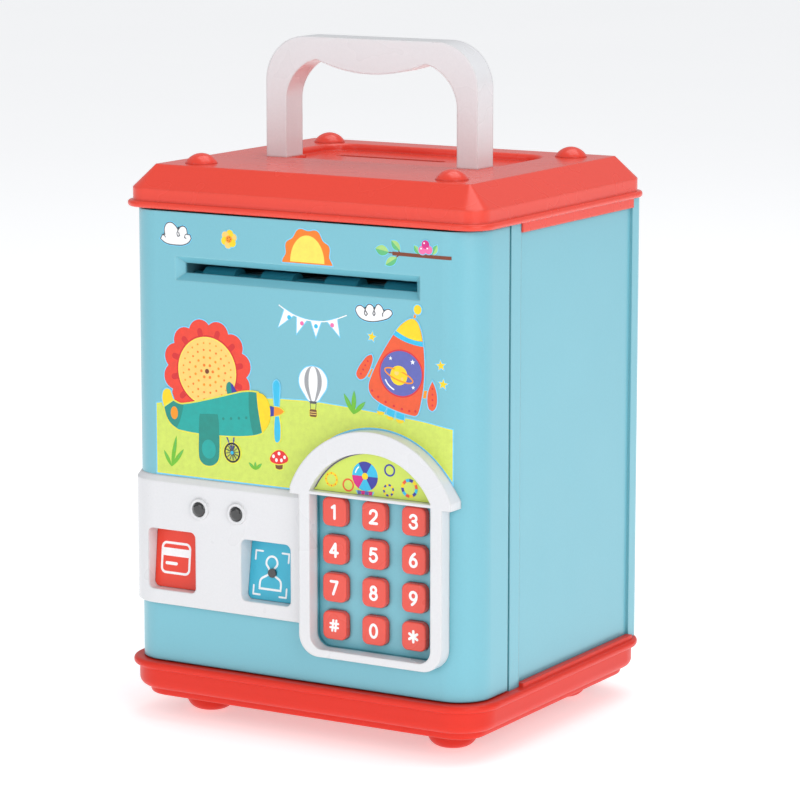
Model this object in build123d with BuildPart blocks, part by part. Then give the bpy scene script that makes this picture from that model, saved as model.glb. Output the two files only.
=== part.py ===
"""Toy cash machine savings bank: a money box with a swinging front that takes notes and coins.
Frame: origin at the bottom centre of the overall box, X to the right, Y to the back, Z up, millimetres."""

from build123d import *
import math
import os

# ---- overall body ----
BODY_HALF_X = 65.0
BODY_HALF_Y = 57.1
BODY_CORNER_R = 11.45
BACK_CORNER_R = 4.0
WALL = 2.0
BODY_Z0 = 19.3
BODY_Z1 = 169.0
SEAM_FRONT_Y = -34.85
SEAM_REAR_Y = -33.65
DOOR_GAP_Z = 0.5
RECESS_Y0 = -27.3
RECESS_Y1 = 49.3
RECESS_HALF_X = 64.13

# ---- base and feet ----
PLINTH_Z0 = 6.9
PLINTH_Z1 = 9.4
BASE_WALL_Z1 = 16.7
PLINTH_HALF = (63.0, 55.1)
BASE_HALF = (66.6, 58.7)
BEAD_HALF = (68.5, 60.6)
DECK_T = 2.4
BASE_WALL_R = 13.05
BEAD_R = 14.95
FOOT_XY = (46.4, 37.2)
FOOT_R = 8.2
FOOT_ROUND = 4.7
FOOT_BOSS_R = 9.0
BASE_POST_R = 5.0

# ---- lid ----
LID_BEAD_HALF = (67.6, 57.7)
LID_BAND_HALF = (65.95, 56.06)
LID_BAND_R = 7.06
LID_BEAD_R = 8.6
LID_TOP_R = 0.5
LID_BEAD_Z1 = 171.1
LID_TOP = 182.5
LID_CHAMFER = 7.28
LID_WALL = 2.2
TRAY_X0 = -43.5
TRAY_X1 = 40.0
TRAY_Y0 = -8.7
TRAY_Y1 = 38.0
TRAY_R = 9.0
TRAY_DEPTH = 2.3
TRAY_ROLL = 1.3
TRAY_FLOOR_T = 2.0
TRAY_UNDER_Z = LID_TOP - TRAY_DEPTH - TRAY_FLOOR_T
COIN_X0 = -33.2
COIN_X1 = 8.7
COIN_Y = 22.3
COIN_W = 3.2
STUD_XY = (46.9, 39.5)
STUD_R = 5.4
STUD_H = 3.3

# ---- handle ----
HANDLE_Y0 = -11.0
HANDLE_Y1 = -1.0
HANDLE_TOP = 222.7
HANDLE_HALF = 40.0
HANDLE_LEG_W = 7.7
HANDLE_SCREW = (36.15, -6.0)
HANDLE_CORNER_R = 15.0
CUSP = (20.6, 215.3)
BELLY_Z = 211.2

# ---- note slot and rollers ----
SLOT_Z = 150.3
SLOT_OUTER = (91.4, 7.8)
SLOT_THROAT = (86.4, 3.2)
SLOT_FUNNEL = 2.5
ROLLER_R = 4.3
ROLLER_Y = -46.0
ROLLER_DZ = 4.45
ROLLER_CORE_R = 2.6
TYRE_XS = (-34, -12, 12, 34)
TYRE_HALF_W = 6
SHAFT_R = 1.5
BUSH_R = 1.56
BRACKET_X = 45.5
GEAR_MODULE = 0.5
GEAR_TEETH = 28
PINION_TEETH = 12

# ---- keypad ----
FRAME_CX = 30.1
FRAME_HALF = 26.2
FRAME_FACE_Y = -61.9
FRAME_Z0 = 29.8
FRAME_OPEN_HALF = 22.2
FRAME_CORNER_R = 7.0
FRAME_DEPTH = 9.5
FRAME_OPEN_Z0 = 32.3
FRAME_OPEN_R = 4.5
ARCH_R = 31.7
ARCH_CZ = 72.7
EAVE_Z = 82.0
EAVE_HALF = 29.5
LUNETTE_R = 24.7
BAR_Z0 = 82.45
BAR_Z1 = 83.45
KEY_CX = 29.55
KEY_W = 8.75
KEY_H = 9.3
KEY_R = 2.2
KEY_EDGE_R = 0.55
KEY_FACE_Y = -58.4
KEY_PITCH_X = 14.6
KEY_PITCH_Z = 12.3
KEY_Z0 = 39.8
KEY_GAP = 0.08
KEY_TRAVEL = 1.5
PLATE_Y = -56.1
PLATE_BACK_Y = -54.3

# ---- lower panel ----
PANEL_OUT = 1.6
PANEL_Z0 = 39.2
PANEL_Z1 = 81.9
PANEL_X1 = 3.8
RECESS_Z = (43.9, 64.2)
CARD_X = (-56.6, -37.8)
FACE_X = (-20.2, -1.2)
LAMP_X = (-35.9, -21.5)
LAMP_Z = 72.3

# ---- hinge and latch ----
HINGE_XY = (-61.5, -47.6)
PIN_R = 1.6
LATCH_XY = (55.5, -46.0)
LATCH_R = 2.0

SCREW_R = 1.4
SCREW_HEAD_R = 2.8


def block(x0, x1, y0, y1, z0, z1):
    """Plain box given by its six limits."""
    with BuildPart() as made:
        with Locations(((x0 + x1) / 2, (y0 + y1) / 2, (z0 + z1) / 2)):
            Box(abs(x1 - x0), abs(y1 - y0), abs(z1 - z0))
    return made.part


def slab(half_x, half_y, radius, z0, z1, cx=0.0, cy=0.0):
    """Rounded rectangle standing on z0."""
    with BuildSketch(Plane.XY.offset(z0)) as outline:
        with Locations((cx, cy)):
            RectangleRounded(2 * half_x, 2 * half_y, radius)
    with BuildPart() as made:
        extrude(outline.sketch, amount=z1 - z0)
    return made.part


def post(x, y, radius, z0, z1):
    """Round post along Z."""
    with BuildSketch(Plane.XY.offset(z0)) as outline:
        with Locations((x, y)):
            Circle(radius)
    with BuildPart() as made:
        extrude(outline.sketch, amount=z1 - z0)
    return made.part


def rod_y(x, z, radius, y0, y1):
    """Round rod along Y."""
    with BuildSketch(Plane.XZ.offset(-y0)) as outline:
        with Locations((x, z)):
            Circle(radius)
    with BuildPart() as made:
        extrude(outline.sketch, amount=-(y1 - y0))
    return made.part


def rod_x(y, z, radius, x0, x1):
    """Round rod along X."""
    with BuildSketch(Plane.YZ.offset(x0)) as outline:
        with Locations((y, z)):
            Circle(radius)
    with BuildPart() as made:
        extrude(outline.sketch, amount=x1 - x0)
    return made.part


def plate_y(x0, x1, z0, z1, radius, y0, y1):
    """Rounded rectangle facing the front, from y0 back to y1."""
    with BuildSketch(Plane.XZ.offset(-y0)) as outline:
        with Locations(((x0 + x1) / 2, (z0 + z1) / 2)):
            RectangleRounded(x1 - x0, z1 - z0, radius)
    with BuildPart() as made:
        extrude(outline.sketch, amount=-(y1 - y0))
    return made.part


def body_prism(grow, z0, z1):
    """The full body outline, grown or shrunk, as an upright prism."""
    return slab(BODY_HALF_X + grow, BODY_HALF_Y + grow, BODY_CORNER_R + grow, z0, z1)


def rear_prism(grow, z0, z1):
    """The body outline with the tighter corners of its back, as an upright prism."""
    return slab(BODY_HALF_X + grow, BODY_HALF_Y + grow, BACK_CORNER_R + grow, z0, z1)


def keypad_window(grow, z1, y0, y1):
    """Opening of the keypad, round at its lower corners and square at its top."""
    half = FRAME_OPEN_HALF + grow
    z0 = FRAME_OPEN_Z0 - grow
    with BuildPart() as made:
        add(plate_y(FRAME_CX - half, FRAME_CX + half, z0, z1, FRAME_OPEN_R, y0, y1))
        add(block(FRAME_CX - half, FRAME_CX + half, y0, y1, z0 + 2 * FRAME_OPEN_R, z1))
    return made.part


def save(part, name):
    """Labels one part and writes its file."""
    part.label = name
    export_step(part, "parts/" + name + ".step")


os.makedirs("parts", exist_ok=True)

# ================= base =================
with BuildPart() as wall_block:
    add(slab(BASE_HALF[0], BASE_HALF[1], BASE_WALL_R, PLINTH_Z1, BASE_WALL_Z1 + 0.5))
    fillet(wall_block.faces().sort_by(Axis.Z)[0].edges(), radius=3.0)

with BuildPart() as bead_block:
    add(slab(BEAD_HALF[0], BEAD_HALF[1], BEAD_R, BASE_WALL_Z1, BODY_Z0))
    fillet(bead_block.faces().sort_by(Axis.Z)[0].edges(), radius=1.25)
    fillet(bead_block.faces().sort_by(Axis.Z)[-1].edges(), radius=1.25)

with BuildPart() as plinth_block:
    add(slab(PLINTH_HALF[0], PLINTH_HALF[1], 9.5, PLINTH_Z0, PLINTH_Z1 + 0.2))
    fillet(plinth_block.faces().sort_by(Axis.Z)[0].edges(), radius=1.2)

BASE_SCREWS = [(57.5, 49.5), (-57.5, 49.5), (58.6, -29.0), (-58.6, -29.0)]

with BuildPart() as base:
    add(plinth_block.part)
    add(wall_block.part)
    add(bead_block.part)
    add(slab(60.8, 52.9, 7.3, PLINTH_Z0 - 1, BODY_Z0 - DECK_T), mode=Mode.SUBTRACT)
    for sx in (-1, 1):
        for sy in (-1, 1):
            add(post(sx * FOOT_XY[0], sy * FOOT_XY[1], FOOT_BOSS_R, PLINTH_Z0, BODY_Z0 - 1.0))
    for x_rib in (-24, 0, 24):
        add(block(x_rib - 0.8, x_rib + 0.8, -53.5, 53.5, 10.0, BODY_Z0 - 1.0))
    for y_rib in (-18, 18):
        add(block(-61.4, 61.4, y_rib - 0.8, y_rib + 0.8, 10.0, BODY_Z0 - 1.0))
    for sx in (-1, 1):
        add(block(sx * 64.25, sx * 66.6, RECESS_Y0 + 0.1, RECESS_Y1 - 0.1, BODY_Z0 - 0.5, 20.7))
    for sx, sy in BASE_SCREWS:
        add(post(sx, sy, BASE_POST_R, 14.5, BODY_Z0 - 1.0))
        add(post(sx, sy, SCREW_R + 0.1, 12.0, BODY_Z0 + 0.1), mode=Mode.SUBTRACT)
        add(post(sx, sy, SCREW_HEAD_R + 0.2, 12.0, 16.9), mode=Mode.SUBTRACT)
    add(post(HINGE_XY[0], HINGE_XY[1], PIN_R, 16.9, BODY_Z0 + 1), mode=Mode.SUBTRACT)
save(base.part, "base")

with BuildPart() as feet:
    for sx in (-1, 1):
        for sy in (-1, 1):
            add(post(sx * FOOT_XY[0], sy * FOOT_XY[1], FOOT_R, 0, PLINTH_Z0))
    fillet(feet.faces().filter_by(Plane.XY).group_by(Axis.Z)[0].edges(), radius=FOOT_ROUND)
save(feet.part, "feet")

with BuildPart() as base_screws:
    for sx, sy in BASE_SCREWS:
        add(post(sx, sy, SCREW_HEAD_R, 15.1, 16.9))
        add(post(sx, sy, SCREW_R, 16.8, 31.0))
        add(block(sx - 2.0, sx + 2.0, sy - 0.4, sy + 0.4, 15.0, 15.8), mode=Mode.SUBTRACT)
        add(block(sx - 0.4, sx + 0.4, sy - 2.0, sy + 2.0, 15.0, 15.8), mode=Mode.SUBTRACT)
save(base_screws.part, "base_screws")

# ================= rear shell =================
LID_SCREWS = [(52.0, 48.0), (-52.0, 48.0), (58.0, -26.0), (-58.0, -26.0)]

with BuildPart() as rear_shell:
    add(rear_prism(0.0, BODY_Z0, BODY_Z1))
    add(rear_prism(-WALL, BODY_Z0 - 1, BODY_Z1 + 1), mode=Mode.SUBTRACT)
    add(block(-80, 80, -80, SEAM_REAR_Y, 0, 200), mode=Mode.SUBTRACT)
    for sx in (-1, 1):
        add(block(sx * 63.2, sx * 61.6, RECESS_Y0 - 3, RECESS_Y1 + 1, BODY_Z0, BODY_Z1 - 2.0))
        add(block(sx * RECESS_HALF_X, sx * 70, RECESS_Y0, RECESS_Y1, 0, 200), mode=Mode.SUBTRACT)
    for sx, sy in BASE_SCREWS:
        add(post(sx, sy, 4.0, BODY_Z0, 34.0))
        if sy > 0:
            add(block(sx - 0.9, sx + 0.9, sy, 55.3, BODY_Z0, 34.0))
            add(block(min(sx, sx * 1.1), max(sx, sx * 1.1), sy - 0.9, sy + 0.9, BODY_Z0, 34.0))
        add(post(sx, sy, SCREW_R, BODY_Z0 - 1, 31.5), mode=Mode.SUBTRACT)
    for sx, sy in LID_SCREWS:
        reach_x = 63.2 if sx > 0 else -63.2
        add(block(sx - 4.5, sx + 4.5, sy - 4.5, sy + 4.5, 166.6, BODY_Z1))
        add(block(min(sx, reach_x), max(sx, reach_x), sy - 4.5, sy + 4.5, 166.6, BODY_Z1))
        if sy > 0:
            add(block(sx - 4.5, sx + 4.5, sy, 55.6, 166.6, BODY_Z1))
        add(post(sx, sy, SCREW_R + 0.1, 160, 175), mode=Mode.SUBTRACT)
    add(rear_prism(0.5, 0, BODY_Z0), mode=Mode.SUBTRACT)
save(rear_shell.part, "rear_shell")

# ================= lid =================

def hipped_slab(half_x, half_y, radius, z0, z_hip, z1):
    """Rounded rectangle with upright sides to z_hip, then slopes of 45 degrees to a sharp-cornered top."""
    inset = z1 - z_hip
    with BuildSketch(Plane.XY.offset(z_hip)) as hip:
        RectangleRounded(2 * half_x, 2 * half_y, radius)
    with BuildSketch(Plane.XY.offset(z1)) as top:
        RectangleRounded(2 * (half_x - inset), 2 * (half_y - inset), LID_TOP_R)
    with BuildPart() as made:
        add(slab(half_x, half_y, radius, z0, z_hip))
        loft(Sketch() + [hip.sketch, top.sketch])
    return made.part


with BuildPart() as lid_outer:
    add(hipped_slab(LID_BAND_HALF[0], LID_BAND_HALF[1], LID_BAND_R, BODY_Z1, LID_TOP - LID_CHAMFER, LID_TOP))

with BuildPart() as lid_bead:
    add(slab(LID_BEAD_HALF[0], LID_BEAD_HALF[1], LID_BEAD_R, BODY_Z1, LID_BEAD_Z1))
    fillet(lid_bead.faces().sort_by(Axis.Z)[0].edges(), radius=0.9)
    fillet(lid_bead.faces().sort_by(Axis.Z)[-1].edges(), radius=0.9)

with BuildPart() as lid_cavity:
    add(hipped_slab(LID_BAND_HALF[0] - LID_WALL, LID_BAND_HALF[1] - LID_WALL, LID_BAND_R - LID_WALL,
                    BODY_Z1 + LID_WALL, LID_TOP - LID_CHAMFER - 1.3, LID_TOP - LID_WALL))

tray_cx = (TRAY_X0 + TRAY_X1) / 2
tray_cy = (TRAY_Y0 + TRAY_Y1) / 2
tray_hx = (TRAY_X1 - TRAY_X0) / 2
tray_hy = (TRAY_Y1 - TRAY_Y0) / 2
with BuildPart() as lid:
    add(lid_outer.part)
    add(lid_bead.part)
    add(lid_cavity.part, mode=Mode.SUBTRACT)
    add(block(-61.8, 61.8, -31.0, 53.2, BODY_Z1 - 1, BODY_Z1 + LID_WALL + 0.1), mode=Mode.SUBTRACT)
    add(slab(tray_hx + 2, tray_hy + 2, TRAY_R + 2, TRAY_UNDER_Z, LID_TOP - 1, tray_cx, tray_cy))
    for sx in (-1, 1):
        add(block(sx * 30.5, sx * 44.5, -13.0, TRAY_Y0 + 1, TRAY_UNDER_Z, LID_TOP - 1))
        add(block(sx * 64.25, sx * 65.5, RECESS_Y0 + 0.2, RECESS_Y1 - 0.2, 165.7, BODY_Z1 + 0.5))
    add(slab(tray_hx, tray_hy, TRAY_R, LID_TOP - TRAY_DEPTH, LID_TOP + 1, tray_cx, tray_cy), mode=Mode.SUBTRACT)
    tray_rim = [edge for edge in lid.edges().filter_by_position(Axis.Z, LID_TOP - 0.01, LID_TOP + 0.01)
                if abs(edge.center().X - tray_cx) < tray_hx + 1 and abs(edge.center().Y - tray_cy) < tray_hy + 1]
    fillet(tray_rim, radius=TRAY_ROLL)
    for sx, pad_x in ((-1, TRAY_X0 - 1.6), (1, TRAY_X1 + 1.6)):
        add(block(sx * 31.6, pad_x, TRAY_Y0 - 1.6, HANDLE_Y1 + 0.7, LID_TOP - TRAY_DEPTH - 0.5, LID_TOP))
        add(post(sx * HANDLE_SCREW[0], HANDLE_SCREW[1], SCREW_R + 0.1, 170, LID_TOP + 1), mode=Mode.SUBTRACT)
    add(slab((COIN_X1 - COIN_X0) / 2, COIN_W / 2, COIN_W / 2 - 0.05, 170, 190,
             (COIN_X0 + COIN_X1) / 2, COIN_Y), mode=Mode.SUBTRACT)
    for sx, sy in LID_SCREWS:
        add(post(sx, sy, 3.6, BODY_Z1, 178.6))
        add(post(sx, sy, SCREW_R, BODY_Z1 - 1, 176.5), mode=Mode.SUBTRACT)
    for sx in (-1, 1):
        add(block(sx * 24 - 0.7, sx * 24 + 0.7, -46.0, -12.0, 176.0, LID_TOP - 1))
    add(post(HINGE_XY[0], HINGE_XY[1], 3.2, BODY_Z1, 174.0))
    add(post(HINGE_XY[0], HINGE_XY[1], PIN_R, BODY_Z1 - 1, 172.6), mode=Mode.SUBTRACT)
    add(post(LATCH_XY[0], LATCH_XY[1], LATCH_R + 0.5, BODY_Z1 - 1, 174.0), mode=Mode.SUBTRACT)
save(lid.part, "lid")

stud_ball = (STUD_R ** 2 + STUD_H ** 2) / (2 * STUD_H)
with BuildPart() as lid_studs:
    for sx in (-1, 1):
        for sy in (-1, 1):
            with Locations((sx * STUD_XY[0], sy * STUD_XY[1], LID_TOP + STUD_H - stud_ball)):
                Sphere(stud_ball)
    add(block(-70, 70, -70, 70, 160, LID_TOP), mode=Mode.SUBTRACT)
save(lid_studs.part, "lid_studs")

with BuildPart() as lid_screws:
    for sx, sy in LID_SCREWS:
        add(post(sx, sy, SCREW_HEAD_R, 164.7, 166.6))
        add(post(sx, sy, SCREW_R, 166.5, 176.2))
        add(block(sx - 2.0, sx + 2.0, sy - 0.4, sy + 0.4, 164.0, 165.5), mode=Mode.SUBTRACT)
        add(block(sx - 0.4, sx + 0.4, sy - 2.0, sy + 2.0, 164.0, 165.5), mode=Mode.SUBTRACT)
save(lid_screws.part, "lid_screws")

# ================= coin chute =================
coin_cx = (COIN_X0 + COIN_X1) / 2
coin_hx = (COIN_X1 - COIN_X0) / 2
with BuildPart() as coin_chute:
    add(block(coin_cx - coin_hx - 4.2, coin_cx + coin_hx + 4.2, COIN_Y - 6.0, COIN_Y + 6.0,
              TRAY_UNDER_Z - 1.7, TRAY_UNDER_Z))
    add(block(coin_cx - coin_hx - 1.8, coin_cx + coin_hx + 1.8, COIN_Y - 3.8, COIN_Y + 3.8,
              164.5, TRAY_UNDER_Z))
    add(block(coin_cx - coin_hx - 0.4, coin_cx + coin_hx + 0.4, COIN_Y - 2.4, COIN_Y + 2.4, 160, 180),
        mode=Mode.SUBTRACT)
save(coin_chute.part, "coin_chute")

# ================= handle =================
leg_in = HANDLE_HALF - HANDLE_LEG_W
turn = HANDLE_HALF - HANDLE_CORNER_R
diag = HANDLE_CORNER_R * math.sqrt(0.5)
with BuildLine() as grip_line:
    Line((-HANDLE_HALF, LID_TOP), (-HANDLE_HALF, HANDLE_TOP - HANDLE_CORNER_R))
    ThreePointArc((-HANDLE_HALF, HANDLE_TOP - HANDLE_CORNER_R),
                  (-turn - diag, HANDLE_TOP - HANDLE_CORNER_R + diag), (-turn, HANDLE_TOP))
    Line((-turn, HANDLE_TOP), (turn, HANDLE_TOP))
    ThreePointArc((turn, HANDLE_TOP), (turn + diag, HANDLE_TOP - HANDLE_CORNER_R + diag),
                  (HANDLE_HALF, HANDLE_TOP - HANDLE_CORNER_R))
    Line((HANDLE_HALF, HANDLE_TOP - HANDLE_CORNER_R), (HANDLE_HALF, LID_TOP))
    Line((HANDLE_HALF, LID_TOP), (leg_in, LID_TOP))
    Line((leg_in, LID_TOP), (leg_in, 202.5))
    ThreePointArc((leg_in, 202.5), (leg_in - 4.0, 211.0), (CUSP[0], CUSP[1]))
    ThreePointArc((CUSP[0], CUSP[1]), (0, BELLY_Z), (-CUSP[0], CUSP[1]))
    ThreePointArc((-CUSP[0], CUSP[1]), (-leg_in + 4.0, 211.0), (-leg_in, 202.5))
    Line((-leg_in, 202.5), (-leg_in, LID_TOP))
    Line((-leg_in, LID_TOP), (-HANDLE_HALF, LID_TOP))
with BuildSketch(Plane.XZ.offset(-HANDLE_Y0)) as grip_face:
    add(grip_line.line)
    make_face()
with BuildPart() as handle:
    extrude(grip_face.sketch, amount=-(HANDLE_Y1 - HANDLE_Y0))
    for sx in (-1, 1):
        add(post(sx * HANDLE_SCREW[0], HANDLE_SCREW[1], SCREW_R, LID_TOP - 1, 194.0), mode=Mode.SUBTRACT)
save(handle.part, "handle")

with BuildPart() as handle_screws:
    for sx in (-1, 1):
        head_x = sx * HANDLE_SCREW[0]
        head_y = HANDLE_SCREW[1]
        add(post(head_x, head_y, SCREW_HEAD_R, TRAY_UNDER_Z - 1.8, TRAY_UNDER_Z))
        add(post(head_x, head_y, SCREW_R, TRAY_UNDER_Z - 0.1, 193.5))
        add(block(head_x - 2, head_x + 2, head_y - 0.4, head_y + 0.4, 175.0, TRAY_UNDER_Z - 1.1), mode=Mode.SUBTRACT)
        add(block(head_x - 0.4, head_x + 0.4, head_y - 2, head_y + 2, 175.0, TRAY_UNDER_Z - 1.1), mode=Mode.SUBTRACT)
save(handle_screws.part, "handle_screws")

with BuildPart() as hinge_pins:
    add(post(HINGE_XY[0], HINGE_XY[1], PIN_R, 163.6, 172.6))
    add(post(HINGE_XY[0], HINGE_XY[1], PIN_R, 16.9, 26.0))
save(hinge_pins.part, "hinge_pins")

# ================= door shell =================
DOOR_Z0 = BODY_Z0 + DOOR_GAP_Z
DOOR_Z1 = BODY_Z1 - DOOR_GAP_Z
DOOR_SCREWS = [(58.0, 33.0), (58.0, 128.0), (-56.6, 75.0), (-56.6, 120.0)]
FRONT_Y = -BODY_HALF_Y
COVER_Y = -37.4

with BuildSketch(Plane.XZ.offset(-FRONT_Y)) as slot_mouth:
    with Locations((0, SLOT_Z)):
        Rectangle(SLOT_OUTER[0], SLOT_OUTER[1])
with BuildSketch(Plane.XZ.offset(-FRONT_Y - SLOT_FUNNEL)) as slot_neck:
    with Locations((0, SLOT_Z)):
        Rectangle(SLOT_THROAT[0], SLOT_THROAT[1])
with BuildPart() as slot_funnel:
    loft(Sketch() + [slot_mouth.sketch, slot_neck.sketch])

with BuildPart() as door_shell:
    add(body_prism(0.0, DOOR_Z0, DOOR_Z1))
    add(body_prism(-WALL, DOOR_Z0 + WALL, DOOR_Z1 - WALL), mode=Mode.SUBTRACT)
    add(block(-80, 80, SEAM_FRONT_Y, 80, 0, 200), mode=Mode.SUBTRACT)
    add(block(-48.5, 48.5, FRONT_Y + WALL - 0.1, FRONT_Y + 3.5, SLOT_Z - 6, SLOT_Z + 6))
    add(slot_funnel.part, mode=Mode.SUBTRACT)
    add(block(-SLOT_THROAT[0] / 2, SLOT_THROAT[0] / 2, -60, -50,
              SLOT_Z - SLOT_THROAT[1] / 2, SLOT_Z + SLOT_THROAT[1] / 2), mode=Mode.SUBTRACT)
    add(keypad_window(0.0, BAR_Z0 + 0.5, -60, -50), mode=Mode.SUBTRACT)
    for x_pair in (CARD_X, FACE_X):
        add(plate_y(x_pair[0] - 1.25, x_pair[1] + 1.25, RECESS_Z[0] - 1.25, RECESS_Z[1] + 1.25, 3.05, -60, -50),
            mode=Mode.SUBTRACT)
    for x_lamp in LAMP_X:
        add(rod_y(x_lamp, LAMP_Z, 2.5, -60, -50), mode=Mode.SUBTRACT)
    for x_post, z_post in DOOR_SCREWS:
        add(rod_y(x_post, z_post, 3.0, -53.5, COVER_Y))
        add(rod_y(x_post, z_post, SCREW_R, -46.0, COVER_Y + 1), mode=Mode.SUBTRACT)
    add(post(HINGE_XY[0], HINGE_XY[1], 2.9, 160.5, DOOR_Z1))
    add(post(HINGE_XY[0], HINGE_XY[1], 2.9, DOOR_Z0, 29.0))
    add(post(HINGE_XY[0], HINGE_XY[1], PIN_R + 0.06, 163.4, 175), mode=Mode.SUBTRACT)
    add(post(HINGE_XY[0], HINGE_XY[1], PIN_R + 0.06, 10, 26.2), mode=Mode.SUBTRACT)
    add(post(LATCH_XY[0], LATCH_XY[1], LATCH_R + 0.08, 160, 180), mode=Mode.SUBTRACT)
save(door_shell.part, "door_shell")

# ================= door back cover =================
BATT_X = (-54.0, -4.0)
BATT_Z = (27.0, 65.0)
SPEAKER_XZ = (30.0, 118.0)
with BuildPart() as door_back_cover:
    add(plate_y(-62.9, 62.9, DOOR_Z0 + 2.1, DOOR_Z1 - 2.1, 1.5, COVER_Y, COVER_Y + 2))
    add(block(-44.6, 44.6, -40, -30, SLOT_Z - 2.4, SLOT_Z + 2.4), mode=Mode.SUBTRACT)
    add(plate_y(BATT_X[0], BATT_X[1], BATT_Z[0], BATT_Z[1], 2.0, -40, -30), mode=Mode.SUBTRACT)
    for ring, count in ((0, 1), (4.2, 6), (8.4, 12)):
        for k in range(count):
            turn_k = 2 * math.pi * k / count
            add(rod_y(SPEAKER_XZ[0] + ring * math.cos(turn_k), SPEAKER_XZ[1] + ring * math.sin(turn_k),
                      1.1, -40, -30), mode=Mode.SUBTRACT)
    for x_post, z_post in DOOR_SCREWS:
        add(rod_y(x_post, z_post, SCREW_R + 0.1, -40, -30), mode=Mode.SUBTRACT)
    add(post(HINGE_XY[0], HINGE_XY[1], 13.0, 0, 22.0), mode=Mode.SUBTRACT)
save(door_back_cover.part, "door_back_cover")

with BuildPart() as door_screws:
    for x_post, z_post in DOOR_SCREWS:
        add(rod_y(x_post, z_post, SCREW_R, -45.5, COVER_Y + 2.1))
        add(rod_y(x_post, z_post, 2.3, COVER_Y + 2, COVER_Y + 2.7))
        add(block(x_post - 1.7, x_post + 1.7, COVER_Y + 2.3, COVER_Y + 4, z_post - 0.35, z_post + 0.35),
            mode=Mode.SUBTRACT)
        add(block(x_post - 0.35, x_post + 0.35, COVER_Y + 2.3, COVER_Y + 4, z_post - 1.7, z_post + 1.7),
            mode=Mode.SUBTRACT)
save(door_screws.part, "door_screws")

# ================= keypad frame =================
with BuildSketch(Plane.XZ.offset(-FRAME_FACE_Y)) as frame_box:
    with Locations((FRAME_CX, (FRAME_Z0 + 90) / 2)):
        RectangleRounded(2 * FRAME_HALF, 90 - FRAME_Z0, FRAME_CORNER_R)
with BuildSketch(Plane.XZ.offset(-FRAME_FACE_Y)) as frame_arch:
    with Locations((FRAME_CX, ARCH_CZ)):
        Circle(ARCH_R)
with BuildPart() as arch_block:
    extrude(frame_arch.sketch, amount=-FRAME_DEPTH)
    add(block(-20, 80, -70, -40, 0, EAVE_Z), mode=Mode.SUBTRACT)
    add(block(-20, FRAME_CX - EAVE_HALF, -70, -40, 0, 120), mode=Mode.SUBTRACT)
    add(block(FRAME_CX + EAVE_HALF, 80, -70, -40, 0, 120), mode=Mode.SUBTRACT)
with BuildPart() as lunette:
    add(rod_y(FRAME_CX, ARCH_CZ, LUNETTE_R, -62.5, -58.2))
    add(block(-20, 80, -70, -40, 0, BAR_Z1), mode=Mode.SUBTRACT)
    add(block(-20, FRAME_CX - FRAME_OPEN_HALF, -70, -40, 0, 120), mode=Mode.SUBTRACT)
    add(block(FRAME_CX + FRAME_OPEN_HALF, 80, -70, -40, 0, 120), mode=Mode.SUBTRACT)
with BuildPart() as keypad_frame:
    extrude(frame_box.sketch, amount=-FRAME_DEPTH)
    add(block(-20, 80, -70, -40, 84.0, 120), mode=Mode.SUBTRACT)
    add(arch_block.part)
    add(body_prism(0.0, 0, 200), mode=Mode.SUBTRACT)
    add(keypad_window(0.0, BAR_Z0, -70, -50), mode=Mode.SUBTRACT)
    add(lunette.part, mode=Mode.SUBTRACT)
save(keypad_frame.part, "keypad_frame")

with BuildPart() as window_card:
    add(rod_y(FRAME_CX, ARCH_CZ, LUNETTE_R - 0.1, -59.2, -58.2))
    add(block(-20, 80, -70, -40, 0, BAR_Z1 + 0.1), mode=Mode.SUBTRACT)
    add(block(-20, FRAME_CX - FRAME_OPEN_HALF + 0.1, -70, -40, 0, 120), mode=Mode.SUBTRACT)
    add(block(FRAME_CX + FRAME_OPEN_HALF - 0.1, 80, -70, -40, 0, 120), mode=Mode.SUBTRACT)
save(window_card.part, "window_card")

# ================= keypad plate, keys, mat and board =================
KEY_COLS = [KEY_CX - KEY_PITCH_X, KEY_CX, KEY_CX + KEY_PITCH_X]
KEY_ROWS = [KEY_Z0 + 3 * KEY_PITCH_Z, KEY_Z0 + 2 * KEY_PITCH_Z, KEY_Z0 + KEY_PITCH_Z, KEY_Z0]
KEY_NAMES = ["1", "2", "3", "4", "5", "6", "7", "8", "9", "hash", "0", "star"]


def key_prism(cx, cz, grow, y0, y1):
    """Rounded square of one key, grown on every side."""
    return plate_y(cx - KEY_W / 2 - grow, cx + KEY_W / 2 + grow, cz - KEY_H / 2 - grow, cz + KEY_H / 2 + grow,
                   KEY_R + grow, y0, y1)


with BuildPart() as keypad_plate:
    add(keypad_window(-0.05, BAR_Z0 + 0.45, PLATE_Y, PLATE_BACK_Y))
    add(plate_y(FRAME_CX - 23.3, FRAME_CX + 23.3, 29.5, 85.8, 2.0, FRONT_Y + WALL, PLATE_BACK_Y))
    for cz in KEY_ROWS:
        for cx in KEY_COLS:
            add(key_prism(cx, cz, KEY_GAP, -60, -50), mode=Mode.SUBTRACT)
save(keypad_plate.part, "keypad_plate")

for index, key_name in enumerate(KEY_NAMES):
    cx = KEY_COLS[index % 3]
    cz = KEY_ROWS[index // 3]
    with BuildPart() as key_cap:
        add(key_prism(cx, cz, 0.0, KEY_FACE_Y, PLATE_BACK_Y + 0.6))
        fillet(key_cap.faces().sort_by(Axis.Y)[0].edges(), radius=KEY_EDGE_R)
        add(key_prism(cx, cz, 0.6, PLATE_BACK_Y + 0.05, PLATE_BACK_Y + 0.85))
    save(key_cap.part, "key_" + key_name)

MAT_Y = PLATE_BACK_Y + 0.85 + KEY_TRAVEL + 0.1
with BuildPart() as key_mat:
    add(plate_y(FRAME_CX - 22.5, FRAME_CX + 22.5, 31.0, 84.0, 2.0, MAT_Y, MAT_Y + 1.2))
save(key_mat.part, "key_mat")

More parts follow.
